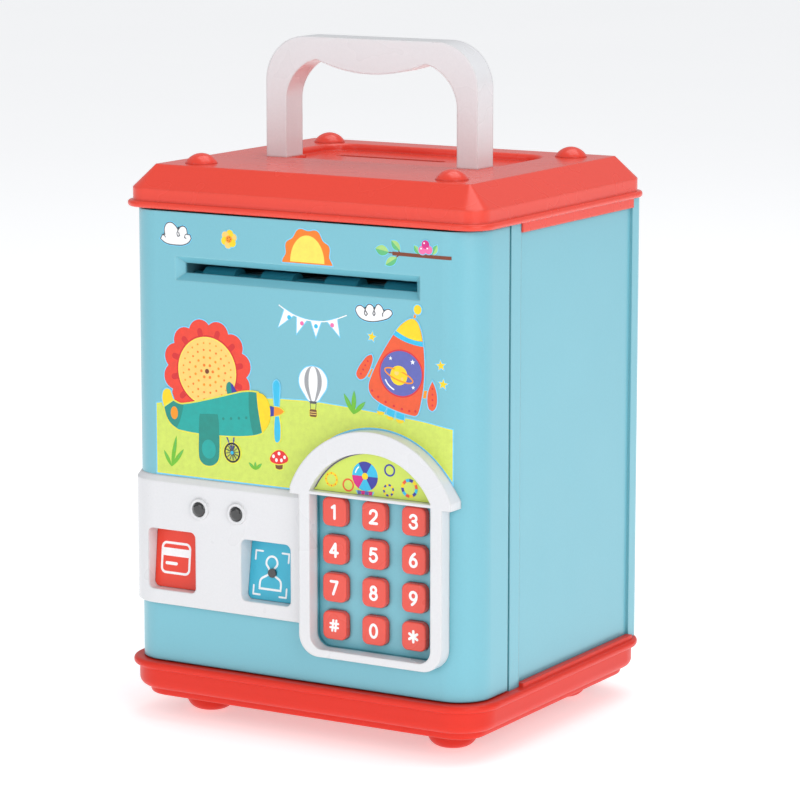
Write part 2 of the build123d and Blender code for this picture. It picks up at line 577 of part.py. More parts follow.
with BuildPart() as keypad_pcb:
    add(plate_y(FRAME_CX - 24.0, FRAME_CX + 24.0, 29.5, 86.0, 1.0, MAT_Y + 1.2, MAT_Y + 2.8))
    add(block(14, 26, MAT_Y + 2.7, MAT_Y + 4.3, 40, 52))
    add(block(32, 38, MAT_Y + 2.7, MAT_Y + 4.0, 44, 49))
    add(block(40, 50, MAT_Y + 2.7, MAT_Y + 7.0, 72, 78))
    add(rod_y(20, 66, 3.0, MAT_Y + 2.7, MAT_Y + 9.0))
    add(rod_y(30, 66, 2.5, MAT_Y + 2.7, MAT_Y + 8.0))
save(keypad_pcb.part, "keypad_pcb")

# ================= lower panel =================
with BuildPart() as panel_skin:
    add(body_prism(PANEL_OUT, PANEL_Z0, PANEL_Z1))
    chamfer(panel_skin.faces().sort_by(Axis.Z)[-1].edges(), length=2.0, length2=1.5)

with BuildPart() as lower_panel:
    add(panel_skin.part)
    add(body_prism(0.0, 0, 200), mode=Mode.SUBTRACT)
    add(block(-80, 80, -50.5, 80, 0, 200), mode=Mode.SUBTRACT)
    add(block(PANEL_X1, 80, -80, 80, 0, 200), mode=Mode.SUBTRACT)
    for x_pair in (CARD_X, FACE_X):
        add(plate_y(x_pair[0] - 1.2, x_pair[1] + 1.2, RECESS_Z[0] - 1.2, RECESS_Z[1] + 1.2, 3.0, -57.2, -50.2))
        add(plate_y(x_pair[0], x_pair[1], RECESS_Z[0], RECESS_Z[1], 2.0, -60, -50), mode=Mode.SUBTRACT)
    for x_lamp in LAMP_X:
        add(rod_y(x_lamp, LAMP_Z, 3.5, -59.5, -57.3))
        add(rod_y(x_lamp, LAMP_Z, 2.5, -61, -50), mode=Mode.SUBTRACT)
save(lower_panel.part, "lower_panel")


def tilted_plate(x0, x1, y_low, y_high, thick):
    """Plate leaning back towards its top, drawn from the side."""
    z0 = RECESS_Z[0] + 0.1
    z1 = RECESS_Z[1] - 0.1
    with BuildSketch(Plane.YZ.offset(x0)) as side:
        Polygon((y_low, z0), (y_high, z1), (y_high + thick, z1), (y_low + thick, z0), align=None)
    with BuildPart() as made:
        extrude(side.sketch, amount=x1 - x0)
    return made.part


with BuildPart() as card_plate:
    add(tilted_plate(CARD_X[0] + 0.1, CARD_X[1] - 0.1, -55.0, -52.9, 1.4))
    add(plate_y(CARD_X[0] + 0.1, CARD_X[1] - 0.1, RECESS_Z[0] + 0.1, RECESS_Z[1] - 0.1, 2.0, -60, -50),
        mode=Mode.INTERSECT)
save(card_plate.part, "card_plate")

SENSOR = (-11.3, 53.0)
with BuildPart() as face_plate:
    add(tilted_plate(FACE_X[0] + 0.1, FACE_X[1] - 0.1, -54.9, -51.9, 1.4))
    add(plate_y(FACE_X[0] + 0.1, FACE_X[1] - 0.1, RECESS_Z[0] + 0.1, RECESS_Z[1] - 0.1, 2.0, -60, -50),
        mode=Mode.INTERSECT)
    add(rod_y(SENSOR[0], SENSOR[1], 1.5, -60, -45), mode=Mode.SUBTRACT)
save(face_plate.part, "face_plate")

with BuildPart() as face_sensor:
    add(rod_y(SENSOR[0], SENSOR[1], 1.5, -54.2, -50.5))
    add(block(SENSOR[0] - 3, SENSOR[0] + 3, -51.6, -50.2, SENSOR[1] - 3, SENSOR[1] + 3))
save(face_sensor.part, "face_sensor")

with BuildPart() as indicator_lamps:
    for x_lamp in LAMP_X:
        add(rod_y(x_lamp, LAMP_Z, 2.5, -59.9, -53.0))
    fillet(indicator_lamps.faces().filter_by(Plane.XZ).sort_by(Axis.Y)[0:2].edges(), radius=1.3)
    for x_lamp in LAMP_X:
        add(rod_y(x_lamp, LAMP_Z, 3.4, -55.1, -53.0))
save(indicator_lamps.part, "indicator_lamps")

# ================= note feed =================
LOW_Z = SLOT_Z - ROLLER_DZ
HIGH_Z = SLOT_Z + ROLLER_DZ
PINION_Z = LOW_Z - GEAR_MODULE * (GEAR_TEETH + PINION_TEETH) / 2
with BuildPart() as roller_bracket:
    for sx in (-1, 1):
        add(block(sx * BRACKET_X, sx * (BRACKET_X + 2), -53.4, -37.5, 128, 163))
    add(block(-BRACKET_X - 1, BRACKET_X + 1, -53.4, -51.4, 128, 130))
    add(block(-BRACKET_X - 1, BRACKET_X + 1, -53.4, -51.4, 161, 163))
    add(block(-BRACKET_X - 1, BRACKET_X + 1, -40.4, -37.5, 146.6, 147.8))
    add(block(-BRACKET_X - 1, BRACKET_X + 1, -40.4, -37.5, 152.8, 154.0))
    for sx in (-1, 1):
        add(rod_x(ROLLER_Y, LOW_Z, BUSH_R, sx * 40, sx * 60), mode=Mode.SUBTRACT)
        add(rod_x(ROLLER_Y, HIGH_Z, BUSH_R, sx * 40, sx * 60), mode=Mode.SUBTRACT)
    add(rod_x(ROLLER_Y, PINION_Z, 1.6, -60, -40), mode=Mode.SUBTRACT)
save(roller_bracket.part, "roller_bracket")

with BuildPart() as feed_motor:
    add(block(-BRACKET_X, -30.5, ROLLER_Y - 6, ROLLER_Y + 6, PINION_Z - 5, PINION_Z + 5))
    add(rod_x(ROLLER_Y, PINION_Z, 3.0, -30.6, -29.3))
    add(rod_x(ROLLER_Y, PINION_Z, 1.05, -60, -35.4), mode=Mode.SUBTRACT)
save(feed_motor.part, "feed_motor")


def gear_part(teeth, cy, cz, x0, x1, phase_deg):
    """Spur gear along X with straight-sided teeth cut thin for free running."""
    pitch_r = GEAR_MODULE * teeth / 2
    root_r = pitch_r - 1.3 * GEAR_MODULE
    tip_r = pitch_r + 0.8 * GEAR_MODULE
    with BuildSketch(Plane.YZ.offset(x0)) as blank:
        with Locations((cy, cz)):
            Circle(root_r)
        for k in range(teeth):
            at = math.radians(phase_deg) + 2 * math.pi * k / teeth
            half_root = 0.27 * math.pi * GEAR_MODULE
            half_tip = 0.12 * math.pi * GEAR_MODULE
            corners = []
            for r_at, side in ((root_r - 0.15, -half_root), (tip_r, -half_tip), (tip_r, half_tip),
                               (root_r - 0.15, half_root)):
                corners.append((cy + r_at * math.cos(at) - side * math.sin(at),
                                cz + r_at * math.sin(at) + side * math.cos(at)))
            Polygon(*corners, align=None)
    with BuildPart() as made:
        extrude(blank.sketch, amount=x1 - x0)
    return made.part


with BuildPart() as note_roller:
    add(rod_x(ROLLER_Y, LOW_Z, SHAFT_R, -53.0, 48.5))
    add(rod_x(ROLLER_Y, LOW_Z, ROLLER_CORE_R, -44.5, 44.5))
    for x_tyre in TYRE_XS:
        add(rod_x(ROLLER_Y, LOW_Z, ROLLER_R, x_tyre - TYRE_HALF_W, x_tyre + TYRE_HALF_W))
    add(gear_part(GEAR_TEETH, ROLLER_Y, LOW_Z, -52.0, -48.5, 90))
save(note_roller.part, "note_roller")

with BuildPart() as idler_roller:
    add(rod_x(ROLLER_Y, HIGH_Z, SHAFT_R, -48.2, 48.2))
    add(rod_x(ROLLER_Y, HIGH_Z, ROLLER_CORE_R, -44.5, 44.5))
    for x_tyre in TYRE_XS:
        add(rod_x(ROLLER_Y, HIGH_Z, ROLLER_R, x_tyre - TYRE_HALF_W, x_tyre + TYRE_HALF_W))
save(idler_roller.part, "idler_roller")

with BuildPart() as motor_pinion:
    add(gear_part(PINION_TEETH, ROLLER_Y, PINION_Z, -52.0, -48.2, 90 + 180 / PINION_TEETH))
    add(rod_x(ROLLER_Y, PINION_Z, 1.0, -52.0, -36.0))
save(motor_pinion.part, "motor_pinion")

# ================= latch =================
with BuildPart() as latch_solenoid:
    add(block(LATCH_XY[0] - 5, LATCH_XY[0] + 5, LATCH_XY[1] - 5.5, LATCH_XY[1] + 8.6, 139.0, 158.0))
    add(post(LATCH_XY[0], LATCH_XY[1], LATCH_R + 0.08, 144, 170), mode=Mode.SUBTRACT)
save(latch_solenoid.part, "latch_solenoid")

with BuildPart() as latch_bolt:
    add(post(LATCH_XY[0], LATCH_XY[1], LATCH_R, 145.0, DOOR_Z1 - 0.3))
    chamfer(latch_bolt.faces().sort_by(Axis.Z)[-1].edges(), length=0.6)
save(latch_bolt.part, "latch_bolt")

# ================= speaker and battery bay =================
with BuildPart() as speaker:
    add(rod_y(SPEAKER_XZ[0], SPEAKER_XZ[1], 14.0, -40.4, COVER_Y))
    add(rod_y(SPEAKER_XZ[0], SPEAKER_XZ[1], 11.0, -43.4, -40.3))
    add(rod_y(SPEAKER_XZ[0], SPEAKER_XZ[1], 8.0, -46.4, -43.3))
    add(rod_y(SPEAKER_XZ[0], SPEAKER_XZ[1], 12.4, -38.6, -37), mode=Mode.SUBTRACT)
save(speaker.part, "speaker")

CELL_R = 5.25
CELL_Y = -43.6
CELL_Z = [33.5, 45.8, 58.1]
with BuildPart() as battery_box:
    add(block(-55.2, -2.8, -49.9, COVER_Y, 25.8, 66.2))
    add(plate_y(BATT_X[0], BATT_X[1], BATT_Z[0], BATT_Z[1], 2.0, -48.9, -30), mode=Mode.SUBTRACT)
    for z_rib in (39.65, 51.95):
        add(block(-54.4, -3.6, -49.2, -46.6, z_rib - 0.5, z_rib + 0.5))
save(battery_box.part, "battery_box")

with BuildPart() as batteries:
    for z_cell in CELL_Z:
        add(rod_x(CELL_Y, z_cell, CELL_R, -51.2, -7.6))
        add(rod_x(CELL_Y, z_cell, 1.9, -7.7, -6.7))
save(batteries.part, "batteries")

with BuildPart() as battery_contacts:
    for z_cell in CELL_Z:
        add(block(-54.0, -51.2, CELL_Y - 3.5, CELL_Y + 3.5, z_cell - 3.5, z_cell + 3.5))
        add(block(-53.5, -51.0, CELL_Y - 3.0, CELL_Y + 3.0, z_cell - 4, z_cell + 3.0), mode=Mode.SUBTRACT)
        add(rod_x(CELL_Y, z_cell, 2.6, -53.6, -51.2))
        add(block(-6.7, -6.2, CELL_Y - 3.5, CELL_Y + 3.5, z_cell - 3.5, z_cell + 3.5))
        add(rod_x(CELL_Y, z_cell, 1.0, -6.3, -4.0))
save(battery_contacts.part, "battery_contacts")

with BuildPart() as battery_cover:
    add(plate_y(BATT_X[0] + 0.15, BATT_X[1] - 0.15, BATT_Z[0] + 0.15, BATT_Z[1] - 0.15, 1.9, COVER_Y, COVER_Y + 2))
    for z_rib in (39.65, 51.95):
        add(block(-40, -18, COVER_Y - 0.6, COVER_Y + 0.1, z_rib - 0.4, z_rib + 0.4))
    add(plate_y(-34.0, -24.0, 59.0, 62.0, 1.4, COVER_Y + 1.2, COVER_Y + 3), mode=Mode.SUBTRACT)
save(battery_cover.part, "battery_cover")
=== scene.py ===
"""Toy cash machine savings bank: materials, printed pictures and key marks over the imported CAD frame."""
import math

import bmesh
import bpy
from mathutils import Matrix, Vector


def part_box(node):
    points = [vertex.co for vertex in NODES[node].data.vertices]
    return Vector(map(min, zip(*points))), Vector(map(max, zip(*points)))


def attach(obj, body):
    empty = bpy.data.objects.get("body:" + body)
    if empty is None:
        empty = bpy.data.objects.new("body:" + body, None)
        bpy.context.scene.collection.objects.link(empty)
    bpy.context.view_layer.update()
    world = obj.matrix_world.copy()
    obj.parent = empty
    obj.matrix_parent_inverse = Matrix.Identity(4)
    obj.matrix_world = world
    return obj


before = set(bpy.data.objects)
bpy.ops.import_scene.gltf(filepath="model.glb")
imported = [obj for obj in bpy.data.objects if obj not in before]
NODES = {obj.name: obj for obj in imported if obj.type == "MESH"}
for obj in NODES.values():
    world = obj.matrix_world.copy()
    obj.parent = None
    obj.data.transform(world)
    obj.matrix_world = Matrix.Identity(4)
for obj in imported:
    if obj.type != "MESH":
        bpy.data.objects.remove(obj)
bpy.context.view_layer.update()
MM = 0.001

# ---- places on the toy, in millimetres ----
FRONT_Y = -57.1  # the door's flat front
KEY_FACE_Y = -58.4  # the flat faces of the keys
WINDOW_Y = -59.2  # the printed card in the arched window
FLAT_HALF = 53.55  # half the door's flat front; past it the front bends round the corner
CORNER_R = 11.45
ARCH_X, ARCH_Z, ARCH_R = 30.1, 72.7, 31.75  # the keypad frame's arch on the door
PLATE_FOOT_Z, PLATE_H = 44, 20.1  # both tilted plates
CARD_PLATE_Y, CARD_PLATE_LEAN = -55.0, 2.1  # a plate's face at its foot, and how far back its head lies
FACE_PLATE_Y, FACE_PLATE_LEAN = -54.9, 3.0
COAT = 0.015  # one coat of ink
SINK = 0.02  # how far a coat's back lies under the surface it is printed on
OVER_HILL, OVER_BLOOM = 0.06, 0.2  # how far sheets that cross another sheet are lifted


def linear(rgb):
    """A 0 to 255 display colour as linear RGBA."""
    out = []
    for c in rgb:
        c /= 255
        out.append(c / 12.92 if c <= 0.04045 else ((c + 0.055) / 1.055) ** 2.4)
    return (*out, 1.0)


# ---------------------------------------------------------------- materials
class Nodes:
    """A material's node tree with short calls for nodes and links."""

    def __init__(self, name):
        self.material = bpy.data.materials.new(name)
        self.material.use_nodes = True
        self.tree = self.material.node_tree
        self.shader = self.tree.nodes["Principled BSDF"]
        self.coords = self.tree.nodes.new("ShaderNodeTexCoord").outputs["Object"]

    def add(self, kind, **values):
        """A new node whose inputs or settings take the values given by name."""
        node = self.tree.nodes.new("ShaderNode" + kind)
        for key, value in values.items():
            if key in node.inputs:
                node.inputs[key].default_value = value
            else:
                setattr(node, key, value)
        return node

    def link(self, source, target):
        self.tree.links.new(source, target)

    def noise(self, scale, detail=3.0, rough=0.5, stretch=None):
        source = self.coords
        if stretch:
            mapping = self.add("Mapping")
            mapping.inputs["Scale"].default_value = stretch
            self.link(self.coords, mapping.inputs["Vector"])
            source = mapping.outputs["Vector"]
        node = self.add("TexNoise", Scale=scale, Detail=detail, Roughness=rough)
        self.link(source, node.inputs["Vector"])
        return node.outputs["Fac"]

    def ranged(self, source, low, high, start=0.3, end=0.7):
        """The source, start to end, mapped on to low to high."""
        node = self.add("MapRange")
        self.link(source, node.inputs["Value"])
        for key, value in zip(("From Min", "From Max", "To Min", "To Max"), (start, end, low, high)):
            node.inputs[key].default_value = value
        return node.outputs["Result"]

    def mixed(self, factor, a, b):
        """Colour a where the factor is 0 and b where it is 1; each is a constant or an output."""
        node = self.add("Mix", data_type="RGBA")
        self.link(factor, node.inputs["Factor"])
        first, second = [socket for socket in node.inputs if socket.type == "RGBA"]
        for socket, value in ((first, a), (second, b)):
            if isinstance(value, tuple):
                socket.default_value = value
            else:
                self.link(value, socket)
        return next(socket for socket in node.outputs if socket.type == "RGBA")

    def bumped(self, height, strength, distance, normal=None):
        node = self.add("Bump", Strength=strength, Distance=distance)
        self.link(height, node.inputs["Height"])
        if normal:
            self.link(normal, node.inputs["Normal"])
        return node.outputs["Normal"]

    def edge_mask(self, radius, gain):
        """(rounded normal, 0 on the flats to 1 along edges and corners)."""
        bevel = self.add("Bevel", samples=6)
        bevel.inputs["Radius"].default_value = radius
        geometry = self.add("NewGeometry")
        dot = self.add("VectorMath", operation="DOT_PRODUCT")
        self.link(bevel.outputs["Normal"], dot.inputs[0])
        self.link(geometry.outputs["Normal"], dot.inputs[1])
        return bevel.outputs["Normal"], self.ranged(dot.outputs["Value"], 1.0, 0.0, 1 - gain, 1.0)

    def sockets(self, **values):
        for key, value in values.items():
            self.shader.inputs[key.replace("_", " ")].default_value = value
        return self


def tinted(rgb, factor):
    """A display colour made lighter or darker, as linear RGBA."""
    return linear(tuple(min(255, c * factor) for c in rgb))


def plastic(name, rgb, edge_highlight_rgb, rough=(0.3, 0.4), coat=0.3, edge=0.0004, grain=0.05, gloss=0.12,
            crevice_shade_rgb=None, shine=0.5):
    """Injection-moulded plastic: faint flow mottling, fine grain, softened edges with a painted highlight
    along them and, given a shade colour, painted shade in corners and crevices."""
    n = Nodes(name)
    cloud = n.noise(22, 2, 0.4)
    fine = n.noise(1400, 2, 0.6)
    normal, edges = n.edge_mask(edge, 0.25)
    body = n.mixed(n.ranged(cloud, 0, 1, 0.1, 0.9), tinted(rgb, 0.985), tinted(rgb, 1.012))
    speckled = n.mixed(n.ranged(fine, 0, 0.25), body, tinted(rgb, 1.05))
    # painted highlight: the colour turns paler along edges and corners
    colour = n.mixed(n.ranged(edges, 0, 0.55, 0, 1), speckled, linear(edge_highlight_rgb))
    # painted shade: where ambient occlusion finds corners and crevices, the colour is mixed towards the given
    # shade colour
    if crevice_shade_rgb:
        crevice_ao = n.add("AmbientOcclusion", samples=8, Distance=0.0035)
        colour = n.mixed(n.ranged(crevice_ao.outputs["AO"], 0.7, 0.0, 0.25, 0.9), colour, linear(crevice_shade_rgb))
    n.link(colour, n.shader.inputs["Base Color"])
    n.link(n.ranged(n.noise(60, 2), *rough, 0.1, 0.9), n.shader.inputs["Roughness"])
    n.link(n.bumped(fine, grain, 0.00025, normal), n.shader.inputs["Normal"])
    n.sockets(Coat_Weight=coat, Coat_Roughness=gloss, IOR=1.5, Specular_IOR_Level=shine)
    return n.material


def metal(name, rgb, rough=(0.22, 0.38), streak=(1, 1, 30)):
    """Turned or drawn metal with fine directional streaks."""
    n = Nodes(name)
    lines = n.noise(220, 3, 0.6, streak)
    normal, edges = n.edge_mask(0.0003, 0.3)
    colour = n.mixed(n.ranged(lines, 0, 1), tinted(rgb, 0.86), tinted(rgb, 1.06))
    # painted highlight: edges and corners lighter than the rest
    n.link(n.mixed(edges, colour, tinted(rgb, 1.25)), n.shader.inputs["Base Color"])
    n.link(n.ranged(lines, *rough), n.shader.inputs["Roughness"])
    n.link(n.bumped(lines, 0.12, 0.0001, normal), n.shader.inputs["Normal"])
    return n.sockets(Metallic=1.0).material


def rubber(name, rgb):
    """Ribbed grey rubber with a dusty bloom."""
    n = Nodes(name)
    dust = n.noise(70, 5, 0.6)
    fine = n.noise(900, 3, 0.7)
    colour = n.mixed(n.ranged(dust, 0, 1), tinted(rgb, 0.85), tinted(rgb, 1.2))
    n.link(colour, n.shader.inputs["Base Color"])
    n.link(n.ranged(fine, 0.6, 0.8), n.shader.inputs["Roughness"])
    n.link(n.bumped(fine, 0.25, 0.0003), n.shader.inputs["Normal"])
    return n.sockets(Specular_IOR_Level=0.3, Sheen_Weight=0.15).material


def lens(name, rgb):
    """Dark glassy plastic of lamps and sensors."""
    n = Nodes(name)
    swirl = n.noise(180, 3, 0.5)
    n.link(n.mixed(n.ranged(swirl, 0, 1), tinted(rgb, 0.7), tinted(rgb, 1.5)), n.shader.inputs["Base Color"])
    n.link(n.ranged(swirl, 0.05, 0.14), n.shader.inputs["Roughness"])
    n.link(n.bumped(swirl, 0.02, 0.0002), n.shader.inputs["Normal"])
    return n.sockets(Coat_Weight=1.0, Coat_Roughness=0.03).material


def circuit(name):
    """Green solder mask over a faint grid of tracks."""
    n = Nodes(name)
    tracks = n.add("TexBrick", Scale=140.0)
    tracks.inputs["Mortar Size"].default_value = 0.03
    tracks.inputs["Color1"].default_value = linear((18, 92, 48))
    tracks.inputs["Color2"].default_value = linear((14, 80, 42))
    tracks.inputs["Mortar"].default_value = linear((70, 150, 90))
    mapping = n.add("Mapping")
    mapping.inputs["Rotation"].default_value = (math.radians(90), 0, 0)
    n.link(n.coords, mapping.inputs["Vector"])
    n.link(mapping.outputs["Vector"], tracks.inputs["Vector"])
    n.link(tracks.outputs["Color"], n.shader.inputs["Base Color"])
    n.link(n.ranged(n.noise(260, 3), 0.28, 0.42), n.shader.inputs["Roughness"])
    n.link(n.bumped(tracks.outputs["Fac"], 0.2, 0.0002), n.shader.inputs["Normal"])
    return n.sockets(Coat_Weight=0.3).material


def cell_sleeve(name):
    """Printed battery sleeve: a copper band at one end, black over the rest, scuffed."""
    n = Nodes(name)
    split = n.add("SeparateXYZ")
    n.link(n.coords, split.inputs["Vector"])
    band = n.ranged(split.outputs["X"], 0, 1, -0.0180, -0.0178)
    scuff = n.noise(160, 4, 0.6, (1, 4, 4))
    dark = n.mixed(n.ranged(scuff, 0, 1, 0.5, 0.8), linear((28, 28, 32)), linear((52, 52, 58)))
    copper = n.mixed(n.ranged(scuff, 0, 1), linear((190, 120, 60)), linear((216, 150, 84)))
    n.link(n.mixed(band, dark, copper), n.shader.inputs["Base Color"])
    n.link(n.ranged(scuff, 0.22, 0.4), n.shader.inputs["Roughness"])
    n.link(n.bumped(scuff, 0.05, 0.0002), n.shader.inputs["Normal"])
    return n.sockets(Metallic=0.4, Coat_Weight=0.4).material


def ink(name, rgb):
    """Silk-screen ink: slightly uneven coverage and a satin face."""
    n = Nodes(name)
    cover = n.noise(420, 4, 0.65)
    dots = n.noise(2600, 1, 0.5)
    base = n.mixed(n.ranged(cover, 0, 1), tinted(rgb, 0.965), tinted(rgb, 1.025))
    dotted = n.mixed(n.ranged(dots, 0, 0.2, 0.45, 0.75), base, tinted(rgb, 1.06))
    n.link(dotted, n.shader.inputs["Base Color"])
    n.link(n.ranged(cover, 0.3, 0.42), n.shader.inputs["Roughness"])
    n.link(n.bumped(dots, 0.04, 0.0001), n.shader.inputs["Normal"])
    return n.sockets(Coat_Weight=0.15, Coat_Roughness=0.2).material


RED, BLUE, WHITE = (233, 68, 50), (117, 187, 202), (224, 224, 226)
# each plastic's second colour is the painted highlight along its edges and corners
SLOT_MATERIALS = {
    "red_plastic": plastic("red_plastic", RED, (246, 106, 92), (0.24, 0.3), coat=0.15, edge=0.0009,
                           grain=0.01, gloss=0.05, shine=0.4),
    # the blue plastic gets painted shade in its corners and crevices, towards a dark teal
    "blue_plastic": plastic("blue_plastic", BLUE, (172, 220, 226), (0.28, 0.38), coat=0.4, edge=0.0008,
                            gloss=0.22, crevice_shade_rgb=(0, 132, 148)),
    "white_plastic": plastic("white_plastic", WHITE, (255, 255, 255), (0.24, 0.34), edge=0.0009, grain=0.02),
    "key_red": plastic("key_red", (230, 76, 60), (250, 128, 112), (0.24, 0.32), coat=0.4, edge=0.0005,
                       grain=0.02),
    "grey_plastic": plastic("grey_plastic", (118, 124, 130), (150, 156, 162), (0.38, 0.5), coat=0.05,
                            edge=0.0006, grain=0.2),
    "printed_card": plastic("printed_card", (208, 226, 96), (228, 232, 80), (0.4, 0.5), coat=0.1,
                            edge=0.0003),
    # teal: a deeper, darker copy of the blue plastic, painted shade for the blue parts inside the note slot
    "teal_plastic": plastic("teal_plastic", (52, 158, 182), (110, 200, 214)),
    "plate_red": plastic("plate_red", (236, 60, 36), (248, 96, 70), coat=0.2),
    "plate_blue": plastic("plate_blue", (62, 182, 210), (110, 205, 225), coat=0.2),
    "black_lens": lens("black_lens", (26, 26, 28)),
    "steel": metal("steel", (190, 194, 200)),
    "circuit_board": circuit("circuit_board"),
    "grey_rubber": rubber("grey_rubber", (70, 78, 82)),
    "motor_can": metal("motor_can", (170, 176, 184), (0.3, 0.45), (30, 1, 1)),
    "spring_brass": metal("spring_brass", (214, 176, 96), (0.2, 0.32), (1, 30, 1)),
    "cell_sleeve": cell_sleeve("cell_sleeve"),
}
SHADED_BASE_RED = plastic("shaded_base_red", (225, 50, 34), (235, 84, 68), (0.32, 0.4), coat=0.1, edge=0.0009,
                   grain=0.01, gloss=0.1, shine=0.22)  # painted shade: a darker, duller copy of the red plastic for the base and feet, set against the bright floor's light
for name, node in NODES.items():
    for index, old in enumerate(node.data.materials):
        slot = old.name.split(".")[0]
        node.data.materials[index] = SHADED_BASE_RED if name in ("base", "feet") else SLOT_MATERIALS[slot]

INKS = {
    "white": (252, 252, 252), "line_grey": (84, 86, 92), "sky_edge": (118, 206, 240),
    "lime_edge": (232, 230, 74), "lime": (208, 226, 96), "sun_orange": (244, 126, 12),
    "sun_yellow": (254, 228, 92), "leaf": (110, 190, 38), "leaf_pale": (170, 216, 128),
    "leaf_mid": (96, 190, 122), "branch": (124, 50, 14), "teal": (0, 166, 158),
    "teal_dark": (0, 140, 128), "yellow": (255, 214, 0), "orange": (255, 150, 0),
    "navy": (50, 54, 160), "cyan": (44, 190, 232), "black": (24, 22, 22),
    "rocket": (238, 88, 40), "rivet": (220, 36, 52), "violet": (94, 100, 180),
    "petal": (238, 62, 40), "petal_dark": (214, 30, 34), "honey": (250, 208, 110),
    "toadstool": (232, 28, 34), "stem": (112, 68, 32), "grey": (158, 160, 164),
    # the purplish ink is the painted shadow along the window card's arch
    "plum": (104, 92, 122), "magenta": (214, 20, 130), "pink": (244, 110, 170),
}
INK_MATERIALS = {name: ink("ink_" + name, rgb) for name, rgb in INKS.items()}


# ---------------------------------------------------------------- outlines in millimetres
def disc(u, v, ru, rv=None, count=36, start=0.0, sweep=360.0):
    """Points round an ellipse, or along part of it."""
    steps = count if sweep == 360 else count + 1
    return [
        (u + ru * math.cos(math.radians(start + sweep * i / count)),
         v + (rv or ru) * math.sin(math.radians(start + sweep * i / count)))
        for i in range(steps)
    ]


def smooth(points, closed=True, steps=5, corner=58):
    """A curve through the points that keeps corners sharper than `corner` degrees."""
    count = len(points)
    tangents = []
    for i, p in enumerate(points):
        a, b = points[i - 1], points[(i + 1) % count]
        if not closed and i in (0, count - 1):
            tangents.append((0.0, 0.0))
            continue
        turn = Vector((p[0] - a[0], p[1] - a[1])).angle(Vector((b[0] - p[0], b[1] - p[1])), 0.0)
        keep = 0.0 if math.degrees(turn) > corner else 0.5
        tangents.append((keep * (b[0] - a[0]), keep * (b[1] - a[1])))
    out = []
    for i in range(count if closed else count - 1):
        j = (i + 1) % count
        for s in range(steps):
            t = s / steps
            h = (2 * t**3 - 3 * t**2 + 1, t**3 - 2 * t**2 + t, -2 * t**3 + 3 * t**2, t**3 - t**2)
            out.append(tuple(
                h[0] * points[i][k] + h[1] * tangents[i][k] + h[2] * points[j][k] + h[3] * tangents[j][k]
                for k in (0, 1)
            ))
    if not closed:
        out.append(points[-1])
    return out


def turning(loop):
    """Twice the area inside the loop, above 0 when it runs anticlockwise."""
    return sum(a[0] * b[1] - b[0] * a[1] for a, b in zip(loop, loop[1:] + loop[:1]))


def grow(loop, d):
    """The closed loop moved out by d, or in for a negative d."""
    side = 1 if turning(loop) > 0 else -1
    out = []
    for a, p, b in zip(loop[-1:] + loop[:-1], loop, loop[1:] + loop[:1]):
        e1 = Vector((p[0] - a[0], p[1] - a[1])).normalized()
        e2 = Vector((b[0] - p[0], b[1] - p[1])).normalized()
        n = Vector((e1.y + e2.y, -e1.x - e2.x))
        reach = max(0.35, n.length_squared / 2)
        n *= side * d / reach if reach else 0
        out.append((p[0] + n.x, p[1] + n.y))
    return out


def stroke(path, width, caps=6):
    """The closed loop round a pen line with round ends."""
    half = width / 2
    points = [Vector(p) for p in path]
    last = len(points) - 1
    along = [(points[min(last, i + 1)] - points[max(0, i - 1)]).normalized() for i in range(last + 1)]
    across = [Vector((-d.y, d.x)) * half for d in along]

    def cap(point, side, ahead):
        turns = [math.pi * k / caps for k in range(1, caps)]
        return [tuple(point + side * math.cos(a) + ahead * half * math.sin(a)) for a in turns]

    left = [tuple(p + n) for p, n in zip(points, across)]
    right = [tuple(p - n) for p, n in zip(points, across)]
    return (left + cap(points[last], across[last], along[last]) + right[::-1]
            + cap(points[0], -across[0], -along[0]))


def runs(path, corner=50):
    """The path cut at each turn sharper than `corner` degrees."""
    parts, part = [], [path[0]]
    for a, p, b in zip(path, path[1:], path[2:]):
        part.append(p)
        turn = Vector((p[0] - a[0], p[1] - a[1])).angle(Vector((b[0] - p[0], b[1] - p[1])), 0.0)
        if math.degrees(turn) > corner:
            parts.append(part)
            part = [p]
    part.append(path[-1])
    return parts + [part]


def round_points(u, v, radius, count, turn=0.0):
    """Points spaced evenly round a circle, the first at the angle `turn`."""
    angles = [math.radians(360 * k / count + turn) for k in range(count)]
    return [(u + radius * math.cos(a), v + radius * math.sin(a)) for a in angles]


def scallops(u, v, ring, r, petals, turn):
    """The outline of round petals whose centres stand on a ring."""
    half = math.pi / petals
    valley = ring * math.cos(half) + math.sqrt(r**2 - (ring * math.sin(half)) ** 2)
    spread = math.degrees(math.atan2(valley * math.sin(half), valley * math.cos(half) - ring))
    out = []
    for k in range(petals):
        angle = turn + 360 * k / petals
        a = math.radians(angle)
        centre = (u + ring * math.cos(a), v + ring * math.sin(a))
        out += disc(*centre, r, count=9, start=angle - spread, sweep=2 * spread)[:-1]
    return out


def star(u, v, r, arms=5, inner=0.42, turn=90):
    """A star whose inner corners stand at a part of its radius."""
    return [
        (u + q * math.cos(a), v + q * math.sin(a))
        for k in range(2 * arms)
        for q, a in [(r if k % 2 == 0 else r * inner, math.radians(turn + 180 * k / arms))]
    ]


